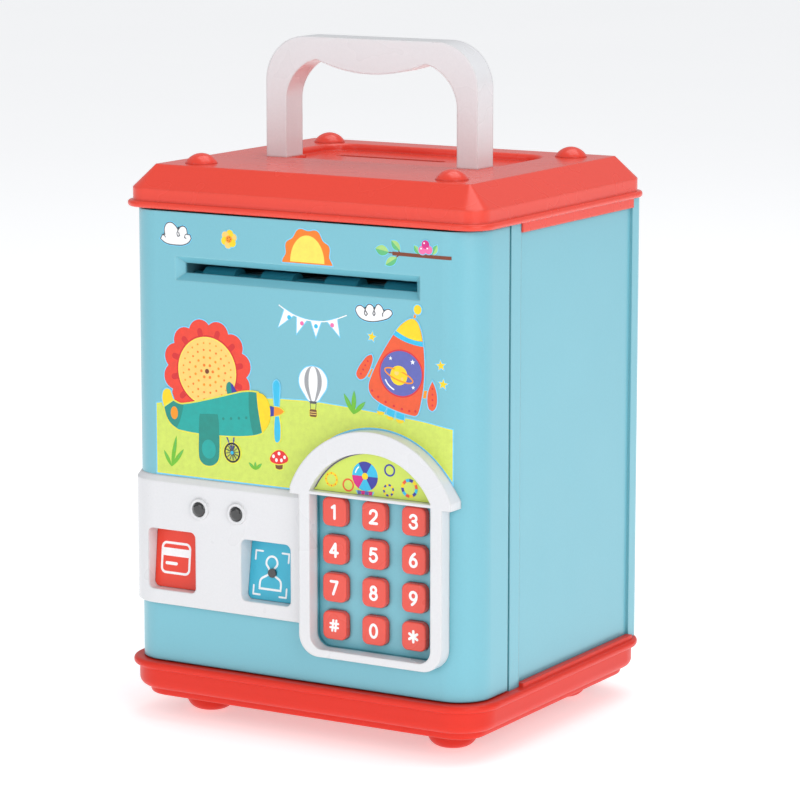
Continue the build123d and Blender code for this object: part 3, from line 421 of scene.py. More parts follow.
def leaf(tip, root, width, half=0):
    """A pointed leaf from tip to root; half = 1 or -1 gives one side of its midrib."""
    t, r = Vector(tip), Vector(root)
    along = r - t
    across = Vector((-along.y, along.x)).normalized() * width / 2
    shape = [(f, math.sin(math.pi * f) ** 0.8) for f in [k / 8 for k in range(9)]]
    upper = [tuple(t + along * f + across * w) for f, w in shape]
    lower = [tuple(t + along * f - across * w) for f, w in reversed(shape[1:-1])]
    if half:
        spine = [tuple(t + along * f) for f, _ in reversed(shape[1:-1])]
        side = upper if half > 0 else [upper[0]] + lower[::-1] + [upper[-1]]
        return side + spine
    return upper + lower


def box_loop(u0, u1, v0, v1, r, count=6):
    """A rounded rectangle."""
    out = []
    corners = ((u1 - r, v1 - r, 0), (u0 + r, v1 - r, 90), (u0 + r, v0 + r, 180), (u1 - r, v0 + r, 270))
    for cu, cv, start in corners:
        out += disc(cu, cv, r, count=count, start=start, sweep=90)
    return out


# ---------------------------------------------------------------- printed sheets
class Sheet:
    """Thin coats of ink, each a closed solid, drawn flat in millimetres and then laid on the toy."""

    def __init__(self, name, body, place, slot="printed_card", lift=0.0):
        self.name, self.body, self.place, self.slot, self.lift = name, body, place, slot, lift
        self.shapes = []

    def fill(self, colour, loop, layer=1):
        """One coat inside a closed loop."""
        self.shapes.append((layer, colour, loop if turning(loop) > 0 else loop[::-1], None, True))
        return self

    def band(self, colour, outer, inner, layer=1, closed=True):
        """One coat between two loops of as many points."""
        self.shapes.append((layer, colour, outer, inner, closed))
        return self

    def outlined(self, colour, loop, layer=1, edge="sky_edge", width=0.38):
        """A coat with a thin border of another colour under it."""
        self.fill(edge, grow(loop, width), layer)
        return self.fill(colour, loop, layer + 1)

    def pen(self, colour, path, width, layer=3):
        """A pen line, lifted between the two sides of each corner."""
        for part in runs(path):
            self.fill(colour, stroke(part, width), layer)
        return self

    def _heights(self):
        """Every shape with its height, each over all the earlier shapes that its box meets."""
        placed = []
        for shape in sorted(self.shapes, key=lambda item: item[0]):
            points = shape[2] + (shape[3] or [])
            box = [f(p[k] for p in points) for k in (0, 1) for f in (min, max)]
            under = [rank for rank, other, _ in placed
                     if box[0] < other[1] and other[0] < box[1] and box[2] < other[3] and other[2] < box[3]]
            placed.append((max(under, default=0) + 1, box, shape))
        return [(self.lift + rank * COAT, shape) for rank, _, shape in placed]

    def _solid(self, bm, loop, height, index):
        low = [bm.verts.new((u, v, -SINK)) for u, v in loop]
        high = [bm.verts.new((u, v, height)) for u, v in loop]
        caps = [bm.faces.new(high), bm.faces.new(low[::-1])]
        for i in range(len(loop)):
            j = (i + 1) % len(loop)
            bm.faces.new((low[i], low[j], high[j], high[i])).material_index = index
        for cap in caps:
            cap.normal_update()
        for face in bmesh.ops.triangulate(bm, faces=caps, ngon_method="EAR_CLIP")["faces"]:
            face.material_index = index

    def _ring(self, bm, outer, inner, height, index, closed):
        count = len(outer)
        grid = [[bm.verts.new((*p, h)) for p in loop]
                for loop, h in ((outer, -SINK), (outer, height), (inner, height), (inner, -SINK))]
        flip = turning(outer) < 0
        for i in range(count if closed else count - 1):
            j = (i + 1) % count
            for a, b in zip(grid, grid[1:] + grid[:1]):
                quad = (a[i], a[j], b[j], b[i])
                bm.faces.new(quad[::-1] if flip else quad).material_index = index
        if not closed:
            for i, turned in ((0, flip), (count - 1, not flip)):
                quad = tuple(g[i] for g in grid)
                bm.faces.new(quad[::-1] if turned else quad).material_index = index

    def finish(self):
        bm = bmesh.new()
        inks = sorted({shape[1] for shape in self.shapes})
        for height, (_, colour, outer, inner, closed) in self._heights():
            if inner is None:
                self._solid(bm, outer, height, inks.index(colour))
            else:
                self._ring(bm, outer, inner, height, inks.index(colour), closed)
        if self.place is on_door:  # cut where the door starts to bend, and along the bend
            for u in (-FLAT_HALF, FLAT_HALF, FLAT_HALF + 1, FLAT_HALF + 2, FLAT_HALF + 3):
                geometry = bm.verts[:] + bm.edges[:] + bm.faces[:]
                bmesh.ops.bisect_plane(bm, geom=geometry, plane_co=(u, 0, 0), plane_no=(1, 0, 0), dist=1e-5)
        for v in bm.verts:
            v.co = Vector(self.place(*v.co)) * MM
        bmesh.ops.recalc_face_normals(bm, faces=bm.faces[:])
        mesh = bpy.data.meshes.new(self.name)
        bm.to_mesh(mesh)
        bm.free()
        for colour in inks:
            mesh.materials.append(INK_MATERIALS[colour])
        piece = bpy.data.objects.new(self.name, mesh)
        bpy.context.scene.collection.objects.link(piece)
        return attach(piece, self.body)


def on_door(u, v, h):
    """The door's front, following its rounded corners by arc length."""
    if abs(u) <= FLAT_HALF:
        return u, FRONT_Y - h, v
    side = math.copysign(1, u)
    angle = (abs(u) - FLAT_HALF) / CORNER_R
    reach = CORNER_R + h
    return side * (FLAT_HALF + reach * math.sin(angle)), FRONT_Y + CORNER_R - reach * math.cos(angle), v


def on_window(u, v, h):
    """The flat card in the arched window."""
    return u, WINDOW_Y - h, v


def on_card_plate(u, v, h):
    """The red plate, leaning back."""
    return u, CARD_PLATE_Y + CARD_PLATE_LEAN * (v - PLATE_FOOT_Z) / PLATE_H - h, v


def on_face_plate(u, v, h):
    """The blue plate, leaning back further."""
    return u, FACE_PLATE_Y + FACE_PLATE_LEAN * (v - PLATE_FOOT_Z) / PLATE_H - h, v


# the hill, cut round the keypad frame's arch, with a pale blue border
HILL_TOP = [(-53.5, 105.5), (-44.8, 106.9), (-37.4, 107.8), (-24.0, 109.4), (-9.8, 110.8), (-3.1, 111.1),
            (5.7, 111.3), (14.1, 110.9), (21.2, 110.5), (30.1, 109.8), (39.0, 109.1), (47.7, 108.3),
            (57.2, 106.8)]
HILL_BOTTOM = 82.0


def arch(radius, stop_u, bottom):
    """Points over the arch from its left foot at the height `bottom` to where it reaches stop_u."""
    first = 180 - math.degrees(math.asin((bottom - ARCH_Z) / radius))
    last = math.degrees(math.acos((stop_u - ARCH_X) / radius))
    return disc(ARCH_X, ARCH_Z, radius, count=48, start=first, sweep=last - first)


hill = Sheet("print_hill", "door", on_door)
hill_foot = HILL_BOTTOM + 0.5
hill_loop = (smooth(HILL_TOP, closed=False) + arch(ARCH_R + 0.55, HILL_TOP[-1][0], hill_foot)[::-1]
             + [(HILL_TOP[0][0], hill_foot)])
border_loop = ([(-53.9, 105.8)] + smooth([(u, v + 0.4) for u, v in HILL_TOP], closed=False) + [(57.6, 107.1)]
               + arch(ARCH_R, 57.6, HILL_BOTTOM)[::-1] + [(-53.9, HILL_BOTTOM)])
hill.fill("sky_edge", border_loop, 1).fill("lime_edge", hill_loop, 2).fill("lime", grow(hill_loop, -0.35), 3)
hill.finish()

# clouds: a white body, a grey pen outline and curls
CLOUDS = {
    "print_cloud_left": (
        [(-51.2, 159.5), (-50.4, 160.8), (-49.5, 161.0), (-49.7, 162.8), (-48.8, 164.5), (-47.1, 165.0),
         (-45.5, 164.2), (-44.3, 162.7), (-43.4, 163.8), (-42.1, 164.0), (-41.1, 163.2), (-40.8, 161.5),
         (-39.8, 161.4), (-39.3, 160.3), (-40.3, 158.9), (-42.3, 158.0), (-44.6, 157.8), (-47.8, 157.9),
         (-49.8, 158.5)],
        [[(-50.6, 160.9), (-49.7, 160.6), (-49.3, 160.1)],
         [(-44.3, 162.7), (-44.8, 161.5), (-44.4, 160.6), (-43.8, 160.9), (-44.1, 161.9)],
         [(-40.8, 161.6), (-41.6, 161.3), (-41.9, 160.4), (-41.3, 160.2)]]),
    "print_cloud_right": (
        [(22.4, 141.6), (22.8, 142.9), (24.2, 143.4), (25.4, 142.8), (25.9, 142.2), (26.6, 143.6),
         (27.6, 144.0), (28.7, 143.5), (29.2, 142.3), (30.0, 143.9), (30.9, 144.3), (32.0, 143.5),
         (32.7, 142.1), (33.9, 142.9), (35.3, 142.6), (35.8, 141.6), (34.5, 140.2), (31.8, 139.2),
         (28.5, 138.6), (25.7, 138.8), (23.6, 139.8)],
        [[(25.9, 142.2), (25.6, 141.0), (26.2, 140.3), (26.7, 140.9), (26.0, 141.9)],
         [(29.2, 142.3), (28.7, 141.2), (29.1, 140.5), (29.5, 141.2), (29.2, 141.9)],
         [(32.7, 142.1), (32.2, 141.3), (32.3, 140.6)]]),
}
for name, (outline, curls) in CLOUDS.items():
    cloud = Sheet(name, "door", on_door)
    loop = smooth(outline)
    cloud.fill("sky_edge", grow(loop, 0.42), 1).fill("white", loop, 2)
    cloud.band("line_grey", grow(loop, 0.16), grow(loop, -0.16), 3)
    for curl in curls:
        cloud.pen("line_grey", smooth(curl, closed=False), 0.3)
    cloud.finish()

# the sun, cut off flat over the note slot
SUN = (4.6, 155.5)
SUN_FLOOR = 155.1
SUN_WIDE, SUN_TALL = 8.3, 10.0  # half axes of the ellipse that the rays stand on
RAY, RAY_PITCH, FIRST_RAY = 1.05, 37, 33
sun = Sheet("print_sun", "door", on_door)
rays = []
for step in range(61):
    angle = -4 + 3.15 * step
    a = math.radians(angle)
    valley = SUN_WIDE * SUN_TALL / math.hypot(SUN_TALL * math.cos(a), SUN_WIDE * math.sin(a))
    reach = valley + RAY * math.cos(math.pi * (angle - FIRST_RAY) / RAY_PITCH) ** 2
    rays.append((SUN[0] + reach * math.cos(a), max(SUN_FLOOR, SUN[1] + reach * math.sin(a))))
sun.outlined("sun_orange", rays, 1)
sun.fill("sun_yellow", disc(*SUN, 6.35, 8.6, start=0, sweep=180), 3)
sun.finish()

# a branch with leaves and berries
branch = Sheet("print_branch", "door", on_door)
branch.fill("branch", [(35.8, 161.1), (56.7, 160.9), (56.7, 159.8), (35.8, 160.0)], 3)
for twig in ([(36.2, 160.6), (34.1, 160.9)], [(38.6, 160.8), (37.2, 162.4)], [(38.4, 160.4), (36.6, 159.0)]):
    branch.pen("branch", twig, 0.35, 2)
for tip, root, width in (
    ((29.6, 161.7), (34.5, 160.9), 3.3),
    ((35.4, 164.6), (38.6, 161.6), 2.6),
    ((33.3, 156.8), (37.5, 159.4), 2.7),
    ((51.8, 164.2), (50.2, 161.0), 1.9),
    ((43.6, 163.6), (45.4, 161.0), 1.8),
):
    branch.outlined("leaf_pale", leaf(tip, root, width), 1, width=0.25)
    branch.fill("leaf_mid", leaf(tip, root, width, half=-1), 3)
for u, v, berry in ((46.6, 162.3, "pink"), (48.8, 162.5, "pink"), (47.7, 164.1, "magenta")):
    branch.outlined(berry, disc(u, v, 1.35, count=24), 3, width=0.25)
    branch.fill("white", disc(u - 0.45, v + 0.45, 0.28, count=12), 5)
branch.finish()

# a small flower beside the left cloud
FLOWER = (-24.8, 161.0)
flower = Sheet("print_flower", "door", on_door)
for k, petal in enumerate(round_points(*FLOWER, 1.75, 6, 20)):
    flower.outlined("yellow" if k % 2 else "honey", disc(*petal, 1.3, count=20), 1, width=0.3)
flower.fill("orange", disc(*FLOWER, 1.15, count=24), 4)
for seed in round_points(*FLOWER, 0.6, 5):
    flower.fill("branch", disc(*seed, 0.16, count=10), 5)
flower.finish()

# white pennants under the slot
bunting = Sheet("print_bunting", "door", on_door)
string = smooth([(-6.0, 141.2), (-1.0, 138.6), (5.0, 137.2), (12.0, 137.4), (19.0, 139.8)], closed=False)
bunting.pen("white", string, 0.35, 3)
for index in (3, 7, 11, 15):
    (u0, v0), (u1, v1) = string[index], string[index + 2]
    d = Vector((u1 - u0, v1 - v0)).normalized() * 1.9
    mid = ((u0 + u1) / 2, (v0 + v1) / 2)
    flag = [(mid[0] - d.x, mid[1] - d.y), (mid[0] + d.x, mid[1] + d.y), (mid[0] + d.y * 5, mid[1] - 5.0)]
    bunting.outlined("white", flag[::-1], 1, width=0.4)
    bunting.fill("cyan" if index in (3, 11) else "pink", disc(mid[0], mid[1] - 1.6, 0.7, count=20), 4)
bunting.finish()

# a red flower behind the aeroplane
BLOOM = (-33.6, 117.6)
PETALS, PETAL_TURN, PETAL_RING, PETAL_R = 12, 12, 12.6, 4.35
bloom = Sheet("print_bloom", "door", on_door, lift=OVER_HILL)
bloom.fill("sky_edge", scallops(*BLOOM, PETAL_RING, PETAL_R + 0.4, PETALS, PETAL_TURN), 4)
bloom.fill("petal", scallops(*BLOOM, PETAL_RING, PETAL_R, PETALS, PETAL_TURN), 5)
for vein in zip(*(round_points(*BLOOM, r, PETALS, PETAL_TURN) for r in (9.5, 13.2))):
    bloom.pen("petal_dark", vein, 1.9, 7)
bloom.fill("petal_dark", disc(*BLOOM, 11.7, count=48), 8).fill("sun_yellow", disc(*BLOOM, 11.2, count=48), 9)
bloom.fill("honey", disc(*BLOOM, 10.8, count=48), 10)
for ring, (radius, count) in enumerate(((2.2, 6), (4.6, 12), (7.0, 18), (9.2, 24))):
    for seed in round_points(*BLOOM, radius, count, 180 * ring / count):
        bloom.fill("orange" if ring % 2 else "sun_orange", disc(*seed, 0.5 - 0.06 * ring, count=12), 11)
bloom.fill("branch", disc(*BLOOM, 0.8, count=16), 11)
bloom.finish()

# the aeroplane
PLANE_BODY = [(-50.3, 104.5), (-46.7, 106.9), (-44.8, 106.1), (-43.0, 106.0), (-37.4, 107.2),
              (-30.0, 109.2), (-24.4, 110.8), (-20.4, 111.9), (-16.7, 112.4), (-14.2, 112.3),
              (-13.8, 108.0), (-13.1, 103.1), (-12.6, 99.5), (-15.2, 98.5), (-20.9, 97.6), (-29.0, 97.1),
              (-37.1, 97.0), (-44.0, 97.5), (-45.9, 98.1), (-48.0, 99.5), (-49.6, 101.9)]
plane = Sheet("print_plane", "door", on_door, lift=OVER_BLOOM)
blade_top = smooth([(-7.1, 117.0), (-6.1, 116.1), (-5.9, 114.0), (-6.4, 108.3), (-7.7, 108.3),
                    (-8.3, 114.0), (-8.1, 116.1)])
plane.outlined("cyan", blade_top, 4)
blade_foot = smooth([(-7.6, 105.6), (-6.3, 105.6), (-5.7, 102.5), (-5.7, 98.8), (-6.1, 97.4), (-6.9, 96.8),
                     (-7.7, 97.3), (-8.0, 99.8), (-7.9, 102.9)])
plane.outlined("cyan", blade_foot, 4, "lime_edge")
hub = smooth([(-8.2, 108.3), (-6.2, 108.2), (-5.0, 107.7), (-4.3, 107.1), (-5.2, 106.3), (-6.6, 105.7),
              (-8.2, 105.3)])
plane.outlined("orange", hub, 6, "lime_edge", 0.25)
plane.fill("navy", [(-9.6, 108.4), (-8.0, 108.3), (-8.1, 105.4), (-9.6, 105.0)], 8)
plane.fill("teal_dark", smooth([(-25.2, 114.9), (-24.4, 114.4), (-23.6, 110.6), (-25.4, 109.8),
                                (-26.2, 112.4), (-26.0, 114.1)]), 12)
plane.fill("navy", [(-24.6, 114.7), (-23.6, 114.0), (-21.7, 111.0), (-23.9, 110.4)], 13)
plane.outlined("yellow", smooth([(-50.4, 104.6), (-51.1, 107.0), (-50.8, 109.4), (-49.5, 110.6),
                                 (-48.1, 110.3), (-47.5, 109.0), (-46.5, 106.6)]), 11)
plane.outlined("teal", smooth(PLANE_BODY, corner=40), 14, "lime_edge", 0.45)
plane.fill("teal_dark", smooth([(-50.2, 104.4), (-46.7, 106.8), (-44.8, 106.1), (-42.8, 105.9),
                                (-43.3, 103.4), (-44.4, 100.1), (-45.5, 98.1), (-48.0, 99.5),
                                (-49.6, 101.9)], corner=40), 16)
plane.fill("teal_dark", smooth([(-17.6, 112.3), (-14.2, 112.3), (-13.8, 108.0), (-13.1, 103.1),
                                (-12.7, 99.6), (-15.9, 98.4), (-16.9, 102.0), (-17.6, 107.0)], corner=40), 16)
plane.fill("yellow", smooth([(-14.6, 112.3), (-12.4, 112.0), (-10.6, 110.4), (-9.4, 107.0), (-9.8, 103.4),
                             (-11.0, 101.1), (-12.6, 99.6), (-13.4, 103.4), (-14.2, 108.0)], corner=50), 17)
plane.fill("orange", disc(-46.4, 102.9, 1.4, 2.1), 17)
for u, v in ((-27.4, 102.7), (-24.4, 103.0), (-21.4, 103.4), (-18.6, 103.8)):
    plane.fill("teal_dark", disc(u, v, 0.5, count=16), 16)
wing = smooth([(-36.6, 102.8), (-35.6, 103.5), (-30.4, 103.9), (-29.4, 103.2), (-29.0, 97.5), (-29.1, 90.9),
               (-29.7, 88.6), (-31.2, 87.2), (-33.1, 86.7), (-35.0, 87.0), (-36.5, 88.3), (-37.0, 90.6),
               (-36.9, 96.7)])
plane.fill("lime_edge", grow(wing, 0.4), 13).fill("teal_dark", wing, 17)
plane.fill("teal", disc(-33.1, 92.2, 2.7, 3.1), 18)
WHEEL = (-24.1, 91.9)
for foot in ((-26.5, 97.4), (-23.4, 97.5)):
    plane.pen("navy", [foot, (-24.0, 92.2)], 0.35, 5)
plane.band("lime_edge", disc(*WHEEL, 3.5, 3.7), disc(*WHEEL, 2.2, 2.4), 4)
plane.band("black", disc(*WHEEL, 3.1, 3.3), disc(*WHEEL, 2.5, 2.7), 5)
for k in range(6):
    a = math.radians(30 * k + 8)
    ends = [(WHEEL[0] + side * 2.6 * math.cos(a), WHEEL[1] + side * 2.7 * math.sin(a)) for side in (-1, 1)]
    plane.pen("line_grey", ends, 0.18, 5)
plane.fill("cyan", disc(*WHEEL, 0.6, count=16), 6)
plane.finish()

# the rocket
rocket = Sheet("print_rocket", "door", on_door, lift=OVER_HILL)
rocket.outlined("yellow", disc(44.9, 143.6, 1.35, 1.5), 4)
rocket.outlined("orange", [(43.7, 142.2), (44.5, 142.2), (44.0, 140.0), (43.1, 140.0)], 2, width=0.25)
hull = smooth([(40.2, 139.4), (42.0, 140.4), (43.5, 140.6), (44.9, 139.6), (45.9, 137.6), (46.6, 135.0),
               (47.1, 131.5), (47.4, 126.0), (47.1, 120.1), (46.2, 114.8), (45.3, 111.4), (44.3, 110.2),
               (42.7, 110.2), (38.4, 110.9), (33.3, 112.4), (29.6, 114.1), (27.7, 116.0), (27.2, 118.1),
               (27.8, 120.4), (29.4, 124.0), (31.5, 127.9), (33.8, 131.6), (36.4, 135.4), (38.4, 137.9)])
rocket.outlined("rocket", hull, 6)
rocket.fill("yellow", smooth([(37.2, 136.4), (38.4, 137.8), (40.2, 139.35), (42.0, 140.35), (43.5, 140.55),
                              (44.8, 139.6), (45.8, 137.6), (46.7, 133.9), (44.1, 133.9), (40.8, 134.7)],
                             corner=50), 8)
rocket.fill("cyan", smooth([(37.2, 136.4), (40.8, 134.7), (44.1, 133.9), (46.8, 133.7), (47.0, 132.1),
                            (44.1, 132.4), (40.8, 133.1), (38.1, 134.1), (36.2, 135.1)], corner=50), 9)
FINS = (  # the outline, its rivets and the strut that holds it
    ([(28.2, 128.2), (28.7, 126.9), (28.2, 125.0), (27.4, 123.1), (26.2, 121.1), (25.1, 120.2),
      (24.0, 120.0), (23.0, 120.7), (22.7, 121.9), (23.6, 123.9), (25.1, 125.9), (26.6, 127.5)],
     [(26.9, 126.0), (26.0, 124.6), (25.2, 123.2), (24.4, 121.8)],
     [(27.2, 123.9), (30.0, 123.4), (28.6, 120.4), (26.3, 121.3)]),
    ([(50.2, 121.5), (51.1, 119.9), (51.8, 117.6), (51.9, 115.0), (51.3, 113.1), (50.3, 112.2),
      (49.1, 112.7), (48.5, 114.5), (48.5, 116.8), (49.1, 119.2)],
     [(50.3, 119.2), (50.3, 117.4), (50.3, 115.7), (50.3, 114.0)],
     [(46.0, 118.4), (49.2, 118.4), (49.0, 115.9), (46.0, 116.0)]),
)
for fin, rivets, strut in FINS:
    rocket.outlined("orange", strut, 4, width=0.25)
    rocket.outlined("rocket", smooth(fin), 6)
    for u, v in rivets:
        rocket.fill("rivet", disc(u, v, 0.36, count=12), 8)
for u, v in ((28.5, 116.8), (30.7, 115.0), (33.4, 113.6), (36.4, 112.6), (39.3, 111.9), (42.0, 111.5),
             (44.2, 111.6)):
    rocket.fill("rivet", disc(u, v, 0.42, count=12), 8)
for jet, flame in (
    ([(31.2, 112.9), (33.9, 112.3), (32.8, 110.2), (30.4, 111.0)], (31.6, 110.4)),
    ([(34.2, 112.2), (36.8, 111.6), (36.4, 108.7), (33.7, 109.9)], (35.1, 109.1)),
    ([(37.4, 111.6), (40.3, 111.1), (40.0, 108.3), (37.2, 109.0)], (38.6, 108.4)),
):
    rocket.fill("sky_edge", grow(jet, 0.3), 3)
    rocket.fill("yellow", disc(*flame, 1.45, 1.1, start=180, sweep=180), 4)
    rocket.fill("cyan", jet, 5)
PORTHOLE, PLANET = (39.0, 123.1), (38.2, 122.4)
rocket.band("rivet", disc(*PORTHOLE, 8.0, 7.6, 48), disc(*PORTHOLE, 7.4, 7.0, 48), 8)
rocket.fill("violet", disc(*PORTHOLE, 7.5, 7.1, 48), 8)
rocket.fill("yellow", disc(*PLANET, 3.1, 3.1), 9)
for u, v, r in ((37.4, 123.2, 0.8), (39.4, 121.4, 0.5)):
    rocket.fill("honey", disc(u, v, r, count=16), 10)
tilt = math.radians(-18)
along, across = math.cos(tilt), math.sin(tilt)
orbit = [(u * along - v * across + PLANET[0], u * across + v * along + PLANET[1])
         for u, v in disc(0, 0, 5.3, 1.5, 40)]
rocket.band("orange", grow(orbit, 0.22), grow(orbit, -0.22), 10)
rocket.fill("yellow", disc(38.2, 123.6, 2.0, 1.0, start=0, sweep=180), 11)
for u, v, r in ((43.2, 127.0, 0.9), (35.2, 127.6, 0.7), (43.4, 119.0, 0.7)):
    rocket.fill("white", star(u, v, r), 9)
rocket.pen("white", disc(*PORTHOLE, 6.2, 5.8, 8, start=205, sweep=40), 0.45, 9)
rocket.finish()

# yellow stars beside the rocket
stars = Sheet("print_stars", "door", on_door)
for u, v, turn in ((28.3, 133.8, 80), (53.2, 126.7, 96), (54.0, 120.9, 84)):
    stars.outlined("yellow", star(u, v, 1.7, turn=turn), 1, width=0.3)
stars.finish()

# tufts of grass, each a fan of blades from one root
grass = Sheet("print_grass", "door", on_door, lift=OVER_HILL)
for root, tips in (
    ((21.5, 108.6), ((18.0, 114.9, 1.5), (21.8, 116.1, 1.6), (25.9, 112.9, 1.5))),
    ((-47.8, 85.0), ((-50.8, 90.2, 1.3), (-45.8, 95.4, 1.5), (-43.0, 91.2, 1.4))),
    ((-15.4, 87.1), ((-17.9, 89.3, 1.1), (-15.4, 89.8, 0.9), (-12.9, 89.4, 1.1))),
):
    for u, v, width in tips:
        grass.fill("leaf", leaf((u, v), root, width), 5)
        mid = ((u + root[0]) / 2 + 0.15, (v + root[1]) / 2)
        grass.pen("leaf_mid", [(u * 0.9 + root[0] * 0.1, v * 0.9 + root[1] * 0.1), mid], 0.16, 6)
grass.finish()

# a spotted toadstool
toadstool = Sheet("print_toadstool", "door", on_door, lift=OVER_HILL)
stem = smooth([(-7.9, 90.4), (-4.9, 90.6), (-5.0, 88.5), (-6.2, 88.1), (-7.6, 88.4)])
cap = smooth([(-9.8, 91.5), (-8.6, 93.3), (-6.5, 94.4), (-4.4, 93.9), (-2.9, 92.2), (-3.3, 90.9),
              (-6.3, 89.8), (-9.2, 90.3)])
toadstool.outlined("stem", stem, 4, "lime_edge", 0.3)
toadstool.outlined("toadstool", cap, 5, "lime_edge", 0.3)
for u, v in ((-6.3, 93.3), (-8.4, 92.2), (-4.2, 92.3), (-7.3, 91.1), (-5.4, 91.2)):
    toadstool.fill("white", disc(u, v, 0.52, 0.6, count=16), 7)
toadstool.finish()

# a striped balloon over the hill
balloon = Sheet("print_balloon", "door", on_door, lift=OVER_HILL)
envelope = smooth([(6.6, 122.6), (9.6, 121.8), (11.6, 119.3), (11.6, 116.2), (9.8, 113.4), (8.0, 111.4),
                   (5.2, 111.4), (3.4, 113.4), (1.6, 116.2), (1.6, 119.3), (3.6, 121.8)])
balloon.outlined("white", envelope, 4)
BALLOON_U = 6.6
for squeeze in (-0.62, 0.62):
    outer, inner = ([(BALLOON_U + (u - BALLOON_U) * part, v) for u, v in envelope]
                    for part in (squeeze, squeeze * 0.52))
    half = len(envelope) // 2 + 1
    balloon.band("grey", outer[:half], inner[:half], 6, closed=False)
balloon.fill("line_grey", [(5.2, 111.4), (8.0, 111.4), (7.7, 110.6), (5.5, 110.6)], 6)
for u0, u1 in ((5.5, 5.7), (7.7, 7.5)):
    balloon.pen("line_grey", [(u0, 110.7), (u1, 108.6)], 0.2, 5)
balloon.outlined("stem", box_loop(5.3, 7.9, 106.4, 108.8, 0.5), 4, "lime_edge", 0.25)
for v in (107.9, 107.2):
    balloon.pen("honey", [(5.5, v), (7.7, v)], 0.25, 6)
balloon.finish()

# the arched window's card: a ball and rings, and a painted shadow line along the arch
BALL, BALL_R = (27.0, 89.6), 4.7
card = Sheet("print_window", "door", on_window)
card.outlined("cyan", disc(*BALL, BALL_R), 1, "lime_edge", 0.3)
for start, colour in ((60, "navy"), (180, "magenta"), (300, "navy")):
    card.fill(colour, [BALL] + disc(*BALL, BALL_R, count=10, start=start, sweep=60), 3)
card.fill("yellow", disc(*BALL, 1.1, count=20), 4)
card.pen("white", disc(*BALL, 3.6, count=8, start=130, sweep=35), 0.4, 5)
card.fill("sky_edge", [(23.6, 84.9), (30.4, 84.9), (29.8, 83.7), (24.2, 83.7)], 2)
for k in range(4):
    top, foot = 1.4 * k, 1.35 * k
    stripe = [(24.2 + top, 84.9), (25.6 + top, 84.9), (25.5 + foot, 83.7), (24.3 + foot, 83.7)]
    card.fill("magenta" if k % 2 else "violet", stripe, 3)
DOTTED_RING = (14.6, 87.4)
for u, v, r, width, colours in (
    (*DOTTED_RING, 2.4, 0.75, ("yellow",)), (43.2, 87.4, 3.0, 0.95, ("rocket", "yellow", "navy", "cyan")),
    (36.0, 92.4, 2.0, 0.55, ("navy",)), (20.8, 86.2, 2.1, 0.5, ("rocket",)),
    (35.6, 86.0, 2.0, 0.6, ("navy", "yellow")),
):
    if len(colours) == 1:
        card.band(colours[0], disc(u, v, r), disc(u, v, r - width), 2)
        continue
    for k in range(12):
        outer, inner = (disc(u, v, at, count=4, start=30 * k, sweep=30) for at in (r, r - width))
        card.band(colours[k % len(colours)], outer, inner, 2, closed=False)
# painted shadow: a thin dark purple line on the card along the arch, where the frame's inner wall shades it
arch_shadow_line = [disc(ARCH_X, ARCH_Z, r, count=40, start=28.5, sweep=123) for r in (24.62, 24.25)]
card.band("plum", *arch_shadow_line, 1, closed=False)
for dot in round_points(*DOTTED_RING, 2.02, 8):
    card.fill("rocket", disc(*dot, 0.22, count=10), 3)
card.finish()

# symbols on the two tilted plates
icon = Sheet("print_card_icon", "door", on_card_plate)
outline = box_loop(-54.5, -42.9, 48.4, 59.0, 2.0)
icon.band("white", outline, grow(outline, -0.8), 1)
icon.fill("white", [(-54.2, 54.3), (-43.2, 54.3), (-43.2, 56.9), (-54.2, 56.9)], 1)
icon.pen("white", [(-52.2, 51.9), (-48.4, 51.9)], 1.05, 1)
icon.finish()

icon = Sheet("print_face_icon", "door", on_face_plate)
for u, du in ((-18.2, 1), (-5.6, -1)):
    for v, dv in ((59.6, -1), (45.6, 1)):
        icon.pen("white", [(u + 2.6 * du, v), (u, v), (u, v + 2.8 * dv)], 0.6, 1)
head = disc(-11.9, 56.1, 2.1, count=14, start=190, sweep=-200)
bust = ([(-12.8, 54.0), (-13.7, 55.2)] + head + [(-10.1, 55.2), (-11.0, 54.0), (-10.9, 52.4), (-8.5, 50.9)]
        + [(-7.9, 49.6), (-7.9, 47.6), (-15.9, 47.6), (-15.9, 49.6), (-15.3, 50.9), (-12.9, 52.4)])
bust = smooth(bust, corner=70)
icon.band("white", grow(bust, 0.35), grow(bust, -0.35), 1)
icon.finish()

